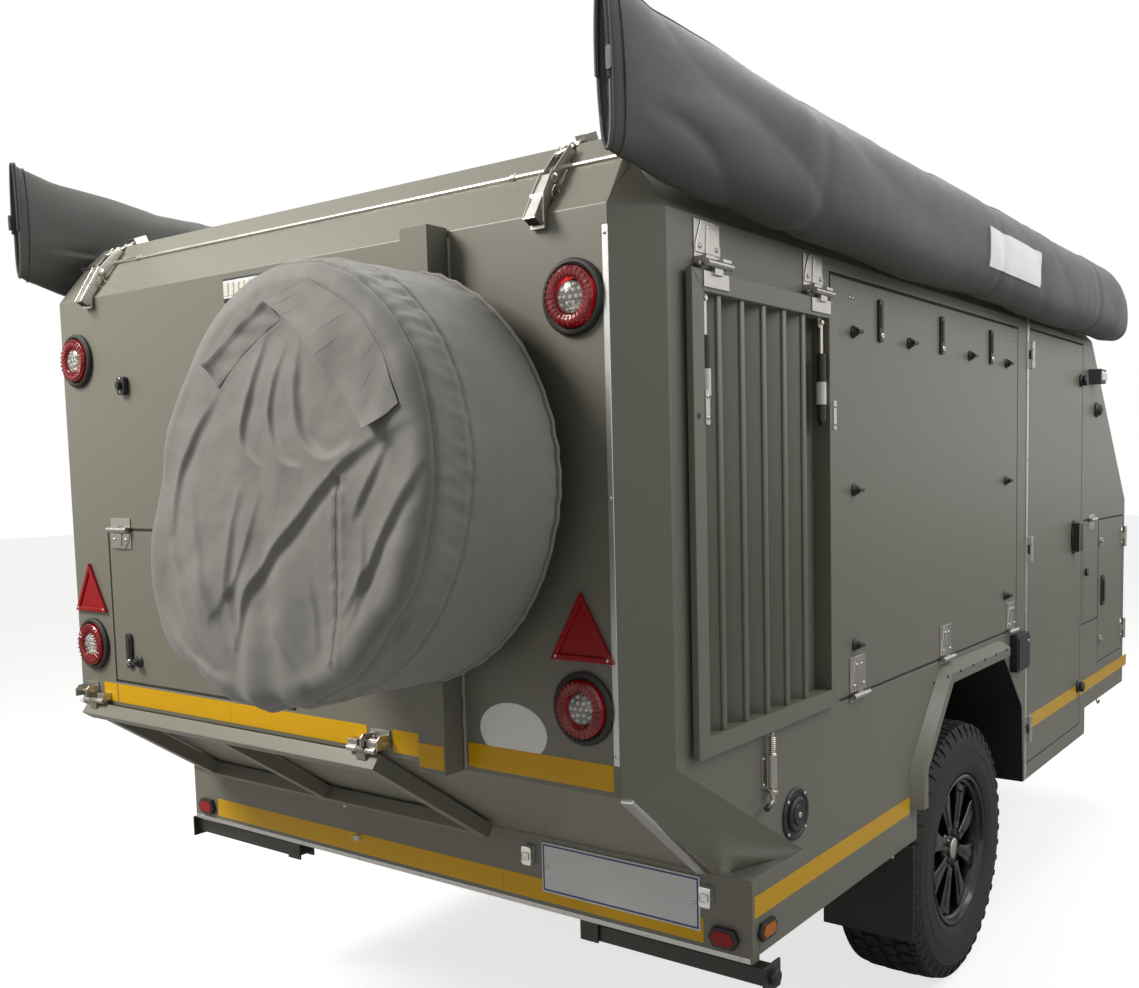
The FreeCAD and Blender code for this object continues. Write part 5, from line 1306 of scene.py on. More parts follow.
def wheel_form():
    """The rim: barrel, outer lip, spokes' hub, cap, nuts and valve, about the X axis."""
    form = Form()
    barrel = [(-4, 224), (-1, 229), (2, 230), (4, 226), (2, 219), (-12, 213), (-40, 206), (-120, 196),
              (-205, 200), (-246, 214), (-250, 226), (-256, 228), (-256, 220), (-212, 192), (-120, 188),
              (-44, 198), (-16, 206)]
    lathe_x(form, [(x - 12, r) for x, r in barrel], 96, 0)
    hub = [(-110, 0), (-110, 62), (-60, 70), (-44, 70), (-38, 64), (-36, 52), (-40, 46), (-40, 0)]
    lathe_x(form, [(x, r) for x, r in hub], 48, 0, False)
    cap = [(-41, 0), (-41, 33), (-30, 31.5), (-27, 27), (-26, 0)]
    lathe_x(form, cap, 40, 1, False)
    for k in range(6):
        angle = math.tau * (k + 0.5) / 6
        place = seat((-39, 50 * math.cos(angle), 50 * math.sin(angle)), (0, 1, 0), (0, 0, 1))
        form.turned([(-2, 0), (-2, 11), (2, 11), (6, 9), (13, 8), (13, 0)], place, 6, 2)
    form.rod((-20, 0, 186), (-2, 0, 184), 4, 10, 2)
    return form


def spoke_form():
    """A paddle spoke with a scalloped end and its groove."""
    form = Form()
    face = facing_right((-38, 0, 0))
    paddle = [(-17, 58), (17, 58), (19, 96), (27, 140), (38, 178), (41, 196), (30, 207), (12, 201), (0, 198),
              (-12, 201), (-30, 207), (-41, 196), (-38, 178), (-27, 140), (-19, 96)]
    form.slab(paddle, -34, 8, 4.5, 0, face, 3)
    form.slab([(-7, 84), (7, 84), (12, 150), (16, 178), (-16, 178), (-12, 150)], 6, 11, 2.2, 0, face)
    return form


def wheel(name, body, place, node_tyre, node_rim):
    """A wheel built about the X axis and set in its place: carcass, tread, rim and spokes."""
    seated = Matrix.Translation(to_frame(place.translation)) @ place.to_3x3().to_4x4()

    def set_down(thing, piece_name, replaces):
        thing.data.transform(seated)
        if place.determinant() < 0:
            thing.data.flip_normals()
        thing.name = piece_name
        grown_piece(thing, body, replaces, 32)

    def loose(form, label):
        mesh = bpy.data.meshes.new(label)
        mesh.from_pydata([Vector(p) / 1000 for p in form.points], [], form.faces)
        mesh.polygons.foreach_set("material_index", form.finishes)
        return mesh

    form = Form()
    carcass(form)
    thing = linked(name, loose(form, name))
    thing.data.materials.append(finish("tyre"))
    set_down(thing, f"{name}_carcass", node_tyre)
    tread = grow(f"{name}_tread", loose(tread_pitch(), "pitch"), "wheel", "tyre", Count=PITCHES,
                 Start=0.0)
    set_down(tread, f"{name}_tread", ())
    thing = linked(name, loose(wheel_form(), name))
    for word in ("alloy", "polished", "plastic"):
        thing.data.materials.append(finish(word))
    set_down(thing, f"{name}_rim", node_rim)
    spokes = grow(f"{name}_spokes", loose(spoke_form(), "spoke"), "wheel", "alloy", Count=8, Start=math.pi / 8)
    set_down(spokes, f"{name}_spokes", ())


def wheels():
    """The two road wheels and the spare."""
    for side, word in SIDES:
        place = Matrix.Translation((side * 970, *AXLE)) @ Matrix.Diagonal((side, 1, 1, 1))
        wheel(f"wheel_{word}", f"wheel_{word}", place, [f"tyre_{word}"], [f"rim_{word}"])
    place = Matrix.Translation((450, -330, 1580)) @ Matrix.Rotation(-math.pi / 2, 4, "Z")
    wheel("spare", "body", place, ["spare_wheel"], ())


def underbody():
    """Coil springs, arch bolts, flap bolts and the hand brake and jockey crank on the drawbar."""
    form = Form()
    for across in (-638, 638):
        form.pipe(helix((across, 1700), 30, 434, 552, 5.5), 6, 10)
    piece("coil_springs", form, "body", ["chassis"], replaces=["springs"])
    for side, _ in SIDES:
        for across in (800, 875, 950):
            screw("body", (across, 1195, 520), (0, -1, 0), 6, side)
        for station in range(1310, 1950, 106):
            screw("body", (1024, station, 990), (1, 0, 0), 5, side, "plastic")
    form = Form()
    form.rod((-228, 4590, 868), (-228, 4590, 900), 9, 14, 0)
    form.rod((-228, 4590, 896), (-228, 4500, 900), 6, 12, 0)
    form.rod((-228, 4500, 900), (-228, 4500, 950), 10, 16, 1, 3)
    form.rod((0, 4800, 530), (0, 4720, 610), 9, 14, 0)
    form.rod((0, 4735, 596), (0, 4670, 662), 14, 18, 1, 5)
    form.rod((0, 5120, 528), (0, 5080, 560), 8, 14, 0)
    form.slab(rounded(40, 90, 10), 0, 8, 3, 1, seat((0, 5060, 556), (1, 0, 0), (0, -0.95, 0.3)))
    piece("hitch_fittings", form, "body", ["zinc", "plastic"])


def smooth_line(points, steps=8, closed=False):
    """A line through the points with rounded bends."""
    points = [np.array(p, float) for p in points]
    count = len(points)
    made = []
    for i in range(count if closed else count - 1):
        a, b, c, d = (points[(i + k) % count] if closed else points[min(max(i + k, 0), count - 1)]
                      for k in (-1, 0, 1, 2))
        for t in (k / steps for k in range(steps)):
            made.append(0.5 * (2 * b + (c - a) * t + (2 * a - 5 * b + 4 * c - d) * t * t
                               + (3 * b - a - 3 * c + d) * t ** 3))
    return np.array(made if closed else made + [points[-1]])


def beside(line, x, z):
    """For spots (x, z): the distance to a line, positive on its left, and the run along it from 0 to 1."""
    best, side, run, length = np.full(x.shape, 1e9), np.ones(x.shape), np.zeros(x.shape), 0.0
    for (x0, z0), (x1, z1) in zip(line, line[1:]):
        dx, dz = x1 - x0, z1 - z0
        size = math.hypot(dx, dz)
        if size < 1e-6:
            continue
        share = np.clip(((x - x0) * dx + (z - z0) * dz) / size ** 2, 0, 1)
        gap = np.hypot(x - x0 - share * dx, z - z0 - share * dz)
        near = gap < best
        side = np.where(near, np.where(dx * (z - z0) - dz * (x - x0) < 0, -1, 1), side)
        run = np.where(near, length + share * size, run)
        best = np.where(near, gap, best)
        length += size
    return best * side, run / length, length


def fold(x, z, points, rise, width, hollow=0.7):
    """A fold of cloth: it swells up to a line on its right-hand side and drops away sharply on the left."""
    gap, run, _ = beside(smooth_line(points), x, z)
    fade = np.sin(np.pi * np.clip(run, 0, 1) ** 1.25) ** 0.6
    swell = np.exp(np.minimum(gap, 0) / (width * 1.8)) * np.exp(-(np.maximum(gap, 0) / (width * 0.5)) ** 2)
    return rise * fade * (swell - 0.35 * hollow * np.exp(-((gap - width) / (width * 0.8)) ** 2))


def seam(x, z, points, depth=2.4):
    """A sewn line: a groove with puckered cloth on both sides."""
    gap, run, length = beside(smooth_line(points), x, z)
    inside = np.clip(np.minimum(run, 1 - run) * 40, 0, 1)
    shore = np.exp(-((np.abs(gap) - 11) / 8) ** 2)
    pucker = np.sin(run * length / 6.0 + 1.3 * np.sin(run * length / 31.0))
    return inside * (depth * 0.7 * shore - depth * np.exp(-(gap / 5) ** 2) + 0.9 * pucker * shore)


def billow(x, y, z, size, seed):
    """Smooth noise for whole arrays of points in millimetres."""
    return np.array([noise.noise(Vector((a / size + seed, b / size, c / size))) for a, b, c in zip(x, y, z)])


COVER_X, COVER_Z, COVER_R = 450, 1580, 400
BAND_SEAM = 0.2
THREAD = 0.00055
FLAPS = (([(-24, 321), (91, 247), (214, 134), (272, 83)], [(83, 349), (204, 289), (278, 220), (329, 124)]),
         ([(-24, 321), (-113, 276), (-198, 220)], [(17, 286), (-72, 243), (-164, 175)]))
# The spare tyre's outline with room for the cloth: stations, and the least radius at each.
TYRE_CLEAR = ((-334, -327, -314, -300, -270, -100, -64), (0, 368, 387, 396, 398.5, 398.5, 392))
DROP_SEAM = [(193, 17), (198, -89), (204, -199), (203, -309)]
FOLDS = (([(368, 108), (249, 59), (152, -10), (20, -126), (-49, -212), (-74, -333)], 17, 17, 0.7),
         ([(388, 48), (344, -26), (289, -111), (221, -222)], 14, 15, 0.9),
         ([(387, -101), (339, -192), (276, -265), (199, -333)], 14, 15, 0.9),
         ([(310, 80), (270, 4), (228, -65)], 9, 12, 0.8),
         ([(71, 252), (68, 154), (97, 71), (167, 36), (231, 58)], 13, 17, 0.8),
         ([(-17, 285), (-56, 178), (-78, 76), (-18, 24)], 11, 15, 0.8),
         ([(33, 247), (-1, 124), (42, 40), (106, 22)], 10, 14, 0.8),
         ([(-161, 175), (-231, 99), (-286, 10), (-291, -99)], 12, 18, 0.9),
         ([(-322, -45), (-275, -135), (-209, -239), (-116, -336)], 14, 18, 0.8),
         ([(-238, -9), (-195, -115), (-143, -217), (-75, -316)], 12, 18, 0.8),
         ([(-307, -226), (-214, -309), (-71, -367)], 11, 16, 0.8),
         ([(-68, 8), (-96, -95), (-100, -198), (-62, -298)], 11, 18, 0.8),
         ([(13, -209), (71, -288), (133, -355)], 11, 15, 0.8),
         ([(120, -150), (140, -230), (150, -300)], 7, 14, 0.8),
         ([(-20, -10), (-60, -140), (-150, -260)], 7, 15, 0.8),
         ([(250, -60), (262, -150), (240, -240)], 8, 12, 0.8))


def cover_cut(angle):
    """The radius of the cover's shoulder, the radius of its flat back, and how far it hangs, all round."""
    hug = np.exp(-((angle - 2.5) / 0.85) ** 2)
    hang = np.exp(-((angle - 3.87) / 0.52) ** 2)
    round_off = 44 + 30 * hug
    return round_off, COVER_R - 5 * hug + 33 * hang - round_off, hang


def cover_surface(t, angle):
    """The cover's skin. t is 0 at the middle, 1 and 2 at the shoulder's ends and 3 at the hem."""
    t, angle = np.asarray(t, float), np.asarray(angle, float) % math.tau
    round_off, flat, hang = cover_cut(angle)
    turn = np.clip(t - 1, 0, 1) * math.pi / 2
    share = np.clip(t - 2, 0, 1)
    radius = flat * np.clip(t, 0, 1) + round_off * np.sin(turn) - 31 * hang * share ** 2
    x, z = radius * np.cos(angle), radius * np.sin(angle)
    inner = flat * np.clip(t, 0, 1)
    left = np.clip(-np.cos(angle) * inner / 400, 0, 1) ** 1.5
    back = -386 + 44 * inner * np.sin(angle) / 400 + 33 * left * np.clip((z + 300) / 300, 0, 1)
    station = back + round_off * (1 - np.cos(turn))
    station = station + share * (-64 - station)

    face = 1 - share.clip(0, 0.15) / 0.15
    shape = 0.6 * sum(fold(x, z, *given) for given in FOLDS) + seam(x, z, DROP_SEAM)
    low = np.clip((60 - z) / 300, 0, 1)
    shape += 4.2 * low * np.sin(x / 21 + 0.012 * z + 1.3 * np.sin(x / 64))
    shape += 2.4 * low * np.sin(x / 37 - 0.02 * z + 2)
    for height, size, seed in ((7, 170, 3.1), (3, 70, 8.4), (1, 30, 1.7)):
        shape += height * billow(x, station, z, size, seed)
    shape -= 10 * np.exp(-((angle - 1.9) / 0.5) ** 2) * np.clip(t, 0, 1) ** 2
    rise = np.maximum(shape, -10) * face * np.clip((2.6 - t) / 0.6, 0, 1)
    wrinkle = 1.6 * np.sin(angle * 47 + 2 * np.sin(angle * 7)) + 1.2 * np.sin(angle * 83 + station / 9)
    rise += wrinkle * np.exp(-((share - 0.12) / 0.1) ** 2) * (t > 1.9)
    rise -= 3.0 * np.exp(-((t - 1.72) / 0.05) ** 2)
    rise += (1.3 * np.sin(angle * 61 + 2 * np.sin(angle * 9))) * np.exp(-((t - 1.9) / 0.16) ** 2)
    rise -= 3.2 * np.exp(-((share - BAND_SEAM) / 0.012) ** 2) * (t > 1.9)
    rise += 1.8 * np.exp(-((np.abs(share - BAND_SEAM) - 0.035) / 0.02) ** 2) * (t > 1.9)
    band = np.clip((share - 0.05) * 8, 0, 1)
    rise += band * (2.5 + 4.5 * billow(x, station, z, 105, 5.5) + 1.8 * billow(x, station, z, 40, 2.5))
    hem = np.clip((share - 0.82) / 0.18, 0, 1)
    rise += hem * (1.6 * np.sin(angle * 52 + 1.1 * np.sin(angle * 9)) - 3)
    rise = np.where(share > 0.02, np.maximum(rise, -1.5), rise).clip(-16, 26)
    x = x + rise * np.sin(turn) * np.cos(angle)
    z = z + rise * np.sin(turn) * np.sin(angle)
    station = station - rise * np.cos(turn)
    push = np.maximum(1, np.interp(station, *TYRE_CLEAR) / np.maximum(np.hypot(x, z), 1))
    push = np.where(t > 1, push, 1)
    return COVER_X + x * push, station, COVER_Z + z * push


def cover_spot(x, z, lift=0.0):
    """The cover's skin at places seen from behind, relative to its middle."""
    x, z = np.asarray(x, float), np.asarray(z, float)
    radius, angle = np.hypot(x, z), np.arctan2(z, x) % math.tau
    round_off, flat, _ = cover_cut(angle)
    over = np.arcsin(np.clip((radius - flat) / round_off, 0, 0.999)) / (math.pi / 2)
    a, b, c = cover_surface(np.where(radius < flat, radius / flat, 1 + over), angle)
    return np.stack([a, b - lift, c], -1)


def set_uvs(mesh, values):
    """Writes a UV map in metres from a value for each loop."""
    layer = mesh.uv_layers.new(name="cut")
    layer.data.foreach_set("uv", np.asarray(values, np.float32).ravel())


def sewn(name, path, pitch=0.006, length=0.0042):
    """Stitches on the body along a path given in millimetres."""
    mesh = bpy.data.meshes.new(name)
    mesh.from_pydata([to_frame(p) for p in path], [(k, k + 1) for k in range(len(path) - 1)], [])
    thing = grow(name, mesh, "stitch", "thread", Pitch=pitch, Length=length, Thread=THREAD)
    return grown_piece(thing, "body")


def cover_path(points, lift=1.2, off=0.0):
    """Points on the cover's rear face along a line, moved aside by off."""
    line = smooth_line(points, 14)
    run = np.gradient(line, axis=0)
    run /= np.linalg.norm(run, axis=1)[:, None]
    line = line + np.stack([-run[:, 1], run[:, 0]], 1) * off
    return cover_spot(line[:, 0], line[:, 1], lift)


def cover_flap(name, lower, upper, gape):
    """A strap of doubled cloth between two lines on the cover, whose end stands open."""
    low, high = (smooth_line(points, 16) for points in (lower, upper))
    low = low[np.linspace(0, len(low) - 1, 60).astype(int)]
    high = high[np.linspace(0, len(high) - 1, 60).astype(int)]
    rows = []
    for k in range(60):
        share = np.linspace(0, 1, 14)
        spot = low[k] * (1 - share)[:, None] + high[k] * share[:, None]
        end = np.clip((k - 40) / 19, 0, 1) ** 2
        edge = np.exp(-(share / 0.16) ** 2)
        lift = 3.4 + gape * end * (0.6 + 0.4 * np.cos(share * 5)) + 5 * edge
        lift += 1.3 * np.sin(k / 3.1 + share * 4)
        top = cover_spot(spot[:, 0], spot[:, 1], lift * (1 - 0.75 * share ** 3))
        rows.append([Vector(p) for p in top] + [Vector((p[0], p[1] + 1.8, p[2])) for p in top[::-1]])
    form = Form()
    form.rings(rows)
    mesh = as_mesh(name, form)
    set_uvs(mesh, [(mesh.vertices[v].co.x, mesh.vertices[v].co.z) for f in mesh.polygons for v in f.vertices])
    return finished(name, mesh, "body", ["cover_cloth"], smooth=60)


def spare_cover():
    """The soft cover of the spare wheel, with its seams, flaps, gathered hem and folds."""
    around = 380
    steps = np.concatenate([np.linspace(0.01, 1, 84), 1 + np.arange(1, 15) / 14, 2 + np.arange(1, 47) / 46])
    turns = np.arange(around) * math.tau / around
    t, angle = (grid.ravel() for grid in np.meshgrid(steps, turns, indexing="ij"))
    skin = np.stack(cover_surface(t, angle), 1)
    last = skin[-around:]
    middle = np.array((COVER_X, 0, COVER_Z))
    inner = [middle + (last - middle) * (0.97, 1, 0.97) + (0, d, 0) for d in (0, -14)]
    skin = np.concatenate([skin, *inner, [skin[:around].mean(0)]])
    hub = len(skin) - 1
    faces = [(hub, (k + 1) % around, k) for k in range(around)]
    for i in range(len(steps) + 1):
        for k in range(around):
            n = (k + 1) % around
            faces.append((i * around + k, i * around + n, (i + 1) * around + n, (i + 1) * around + k))
    mesh = bpy.data.meshes.new("spare_cover_cloth")
    mesh.from_pydata([to_frame(p) for p in skin], [], faces)
    marks = []
    for face in faces:
        row = face[0] // around if len(face) == 4 else 0
        for corner in face:
            if row < 94:
                marks.append(((skin[corner][0] - COVER_X) / 1000, (skin[corner][2] - COVER_Z) / 1000))
            else:
                turn = corner % around
                turn += around if face[0] % around == around - 1 and turn == 0 else 0
                marks.append((0.4 * math.tau * turn / around, skin[corner][1] / 1000))
    set_uvs(mesh, marks)
    cover = finished("spare_cover_cloth", mesh, "body", ["cover_cloth"], ["spare_cover"], 80)
    flaps = [cover_flap(f"cover_flap_{k}", *FLAPS[k], gape) for k, gape in enumerate((17, 11))]
    for off in (-4.5, 4.5):
        sewn(f"cover_drop_stitches_{'left' if off > 0 else 'right'}", cover_path(DROP_SEAM, 0.4, off))
    for spot in (-0.25, 0.215):
        ring = np.arange(361) * math.tau / 360
        path = np.stack(cover_surface(np.full(361, 2 + spot), ring), 1) - (0, 0.3, 0)
        path = middle + (path - middle) * (1.0012, 1, 1.0012)
        sewn(f"cover_ring_stitches_{int(abs(spot) * 1000)}", path, 0.0075, 0.0045)
    for low, high in FLAPS:
        sewn(f"cover_flap_stitches_7_{len(low)}", cover_path(high, 3.375, 5))
    form = Form()
    ring = np.arange(240) * math.tau / 240
    hem = np.stack(cover_surface(np.full(240, 2.99), ring), 1)
    form.pipe(list(middle + (hem - middle) * (1.004, 1, 1.004)), 4.6, 8, closed=True)
    hem = piece("cover_hem", form, "body", ["cover_cloth"])


BRACKETS = (480, 1580, 2680)
BAG_REAR, BAG_LENGTH = -70, 3300
BAG_MIDDLE = (18, 42)
# The awning bag's outline where it is full and where its rear end is pinched flat.
BAG = [(-55, 9), (-90, 65), (-90, 149), (-35, 187), (55, 172), (118, 107), (132, 7), (115, -68), (60, -97),
       (-5, -68)]
PINCH = [(-22, 27), (-24, 77), (-24, 167), (-18, 249), (-10, 253), (-4, 187), (0, 77), (-2, 7), (-10, -25),
         (-18, -13)]


def bag_rows(lengths=260, around=72):
    """The rings of an awning bag, right side, in millimetres: an array of rings, points and coordinates."""
    full, thin = (smooth_line(p, 12, True) for p in (BAG, PINCH))
    pick = np.linspace(0, len(full), around, endpoint=False)
    steps = np.arange(len(full) + 1)
    full, thin = (np.stack([np.interp(pick, steps, np.append(c[:, a], c[0, a])) for a in (0, 1)], 1)
                  for c in (full, thin))
    made = []
    middle = np.array(BAG_MIDDLE)
    for i in range(lengths):
        station = BAG_REAR + BAG_LENGTH * (i / (lengths - 1)) ** 1.12
        share = min(1.0, (station - BAG_REAR) / 480) ** 0.72
        ring = thin * (1 - share) + full * share
        end = max(0.0, (station - 2970) / 260)
        ring = middle + (ring - middle) * (1 - 0.2 * end ** 2) + np.array((0, -14 * end))
        run = (station - 480) / 1100 * math.tau
        below = np.clip((60 - ring[:, 1]) / 150, 0, 1)
        slack = 0.5 - 0.5 * math.cos(run)
        ring = ring + np.stack([below * 4 * slack, -below * 9 * slack], 1)
        out = ring - middle
        out /= np.linalg.norm(out, axis=1)[:, None] + 1e-9
        turn = np.arctan2(out[:, 1], out[:, 0])
        rear = math.exp(-((station - 150) / 330) ** 2)
        phase = station / 150 + 1.7 * turn + 1.1 * math.sin(station / 310)
        wave = 7.0 * (np.abs(np.sin(phase)) ** 0.8 - 0.5) * (0.25 + rear + 0.3 * math.sin(station / 420) ** 2)
        wave += 4.5 * np.sin(station / 205 - 0.9 * turn + 0.8) * (0.4 + 0.6 * below)
        for height, along, reach in ((5, station / 240, 0.9), (1.2, station / 60 + 7, 2)):
            spots = [Vector((along, math.cos(a) * reach, math.sin(a) * reach)) for a in turn]
            wave += np.array([height * noise.noise(spot) for spot in spots])
        tight = sum(math.exp(-((station - bracket) / 26) ** 2) for bracket in BRACKETS)
        fade = min(1.0, (station - BAG_REAR) / 120) * min(1.0, (BAG_REAR + BAG_LENGTH + 2 - station) / 60)
        ring = ring + out * ((wave - 5 * tight) * fade)[:, None]
        made.append(np.stack([HALF + ring[:, 0], np.full(around, station), SPLIT + ring[:, 1]], 1))
    return np.array(made)


def awning_bag(side, word):
    """A long cloth bag over a rolled awning, with piping, a zip at its rear end and a bare label."""
    rows = bag_rows()
    lengths, around = rows.shape[:2]
    form = Form()

    def shrunk(row, share, forward):
        return row * share + row.mean(0) * (1 - share) + (0, forward, 0)
    skins = [shrunk(rows[0], 0.45, 7), *rows,
             *(shrunk(rows[-1], share, forward) for share, forward in ((0.94, 5), (0.7, 8), (0.3, 9)))]
    form.rings([[Vector(p) for p in row] for row in skins])
    mesh = as_mesh(f"awning_bag_cloth_{word}", form, side)
    spots = []
    step = 0.85 / around
    for face in mesh.polygons:
        numbers = [v % around for v in face.vertices]
        wrap = max(numbers) - min(numbers) > around / 2 and len(numbers) == 4
        for v in face.vertices:
            spots.append(((v % around + (around if wrap and v % around < around / 2 else 0)) * step,
                          mesh.vertices[v].co.y))
    set_uvs(mesh, spots)
    bag = finished(mesh.name, mesh, "roof", ["bag_cloth"], [f"awning_bag_{word}"], 80)

    def line(share, first=0, last=None, lift=2.0):
        k = int(share * around)
        path = rows[first:last, k]
        outward = (path - (HALF + BAG_MIDDLE[0], 0, SPLIT + BAG_MIDDLE[1])) * (1, 0, 1)
        outward /= np.linalg.norm(outward, axis=1)[:, None]
        return [tuple(p) for p in path + outward * lift]
    trim = Form()
    trim.pipe(line(0.40, lift=0.6), 1.8, 8)
    trim.pipe(line(0.86, lift=0.8), 2.2, 8)
    for i, radius in ((0, 4.0), (3, 2.0)):
        middle = rows[i].mean(0)
        away = rows[i] - middle
        away *= 1.6 / np.linalg.norm(away, axis=1)[:, None]
        trim.pipe(list(rows[i] + away), radius, 8, closed=True)
    piece(f"bag_piping_{word}", trim, "roof", ["bag_cloth"], side)
    zip_line = Form()
    edge = rows[0][8:int(around * 0.62)]
    zip_line.pipe([(p[0], p[1] - 5, p[2]) for p in edge], 4.6, 6, squash=0.5)
    zip_line.slab(rounded(12, 40, 5), 0, 4, 1, 0, on_rear(edge[-1][0] + 5, edge[-1][2] + 30, 78))
    piece(f"bag_zip_{word}", zip_line, "roof", ["plastic"], side)
    if side > 0:
        near = [k for k in range(lengths) if 1450 < rows[k][0][1] < 1960]
        ring = rows[near[0]]
        inside = [k for k in range(around) if ring[k, 0] > HALF + 60 and 2118 < ring[k, 2] < 2236]
        grid = rows[np.ix_(near, inside)]
        label = Form()
        label.rings([[Vector(p) for p in (*(row + (5, 0, 0)), *row[::-1])] for row in grid])
        piece("bag_label_blank", label, "roof", ["sticker"])


def roof_fittings():
    """The arms that hold the awning bags, and the roof vent's dome."""
    soft_copy("awning_brackets", "roof", ["plastic"], 1.2)
    for side, word in SIDES:
        form = Form()
        for station in BRACKETS:
            plate = seat((880, station + 25, 2225), (0, 1, 0), (0.6, 0, 1))
            form.slab(rounded(64, 96, 12), -3, 5, 1.5, 0, plate)
            screws("roof", plate, [(0, y, 5) for y in (-30, 0, 30)], 9.0, side, "plastic")
            form.slab([(760, 2214), (905, 2214), (905, 2300), (880, 2300)], -5, 5, 2, 0,
                      facing_rear((0, station + 25, 0)))
            screws("roof", facing_rear((0, station + 19, 0)), [(815, 2222, 3), (872, 2240, 3)], 6.0,
                   side)
        piece(f"awning_arms_{word}", form, "roof", ["plastic"], side)
    form = Form()
    place = Matrix.Translation((0, 700, 2212))
    steps = ((0, 0), (10, 2), (22, 2), (24, -8), (40, -10), (54, -20), (64, -48), (69, -95), (70, -150))
    rows = []
    for height, spread in steps:
        outline = rounded(400 + 2 * spread, 400 + 2 * spread, max(8, 46 + spread * 0.2))
        rows.append([Vector((x, y, height)) for x, y in outline])
    form.rings(rows, 0, place)
    piece("roof_vent_dome", form, "roof", ["white_plastic"], replaces=["roof_vent"])
    for x, y in [(a, b) for a in (-192, 0, 192) for b in (508, 892)]:
        screw("roof", (x, y, 2234), (0, 0, 1), 5)


def rack_and_steadies():
    """The rack's hinge ears and latch pin, and a knob on each steady."""
    form = Form()
    ear = [(-20, 1004), (20, 1004), (20, 1026), (12, 1034), (-12, 1034), (-20, 1026)]
    for across in (-868, 281):
        for dx in (-26, 26):
            form.slab(ear, dx - 2, dx + 2, 0.8, 0, facing_right((across, -16, 0)))
        form.rod((across - 34, -16, 1018), (across + 34, -16, 1018), 6, 14)
        form.block((across - 30, -4, 1002), (across + 30, 0, 1042), 1, 0)
        screws("body", on_rear(across, 1022, 4), [(-20, 0, 0), (20, 0, 0)], 5)
    form.rod((-250, 330, 700), (-250, 330, 752), 6, 16)
    form.rod((-250, 330, 748), (-250, 330, 756), 9, 16)
    angles = [math.tau * k / 20 for k in range(20)]
    form.pipe([(-250 + 14 * math.sin(a), 326, 768 - 14 * math.cos(a)) for a in angles], 1.4, 8, closed=True)
    piece("rack_hinges", form, "body", ["stainless"])
    for side, word in SIDES:
        knob = Form()
        knob.turned([(0, 0), (0, 17), (10, 18), (16, 15), (18, 0)], facing_right((1014, 402, 512)), 24)
        piece(f"steady_knob_{word}", knob, f"steady_{word}", ["plastic"], side)


def tint(name, about, value):
    """A colour that the user may change."""
    return bpy.props.FloatVectorProperty(name=name, description=about, default=value, subtype="COLOR",
                                         min=0, max=1)


class CaravanColours(bpy.types.PropertyGroup):
    paint: tint("Body paint", "Satin paint of the shell and its hatches", (0.196, 0.190, 0.150))
    tape: tint("Marking tape", "Reflective tape along the lower edges", (0.95, 0.52, 0.0))
    cover: tint("Spare cover", "Coated cloth of the spare wheel's cover", (0.205, 0.200, 0.185))
    bag: tint("Awning bags", "Coated cloth of the awning bags", (0.078, 0.077, 0.072))
    dust: tint("Road dust", "Thin film near the ground", (0.20, 0.17, 0.12))


class CaravanStage(bpy.types.PropertyGroup):
    key: bpy.props.FloatProperty(name="Key light", description="Strength of the overhead lamp at the rear",
                                 default=250.0, min=0, unit="POWER")
    fill: bpy.props.FloatProperty(name="Side light", description="Strength of the lamp on the right side",
                                  default=105.0, min=0, unit="POWER")
    ambient: bpy.props.FloatProperty(name="Surroundings", description="Strength of the light from all round",
                                     default=0.17, min=0)


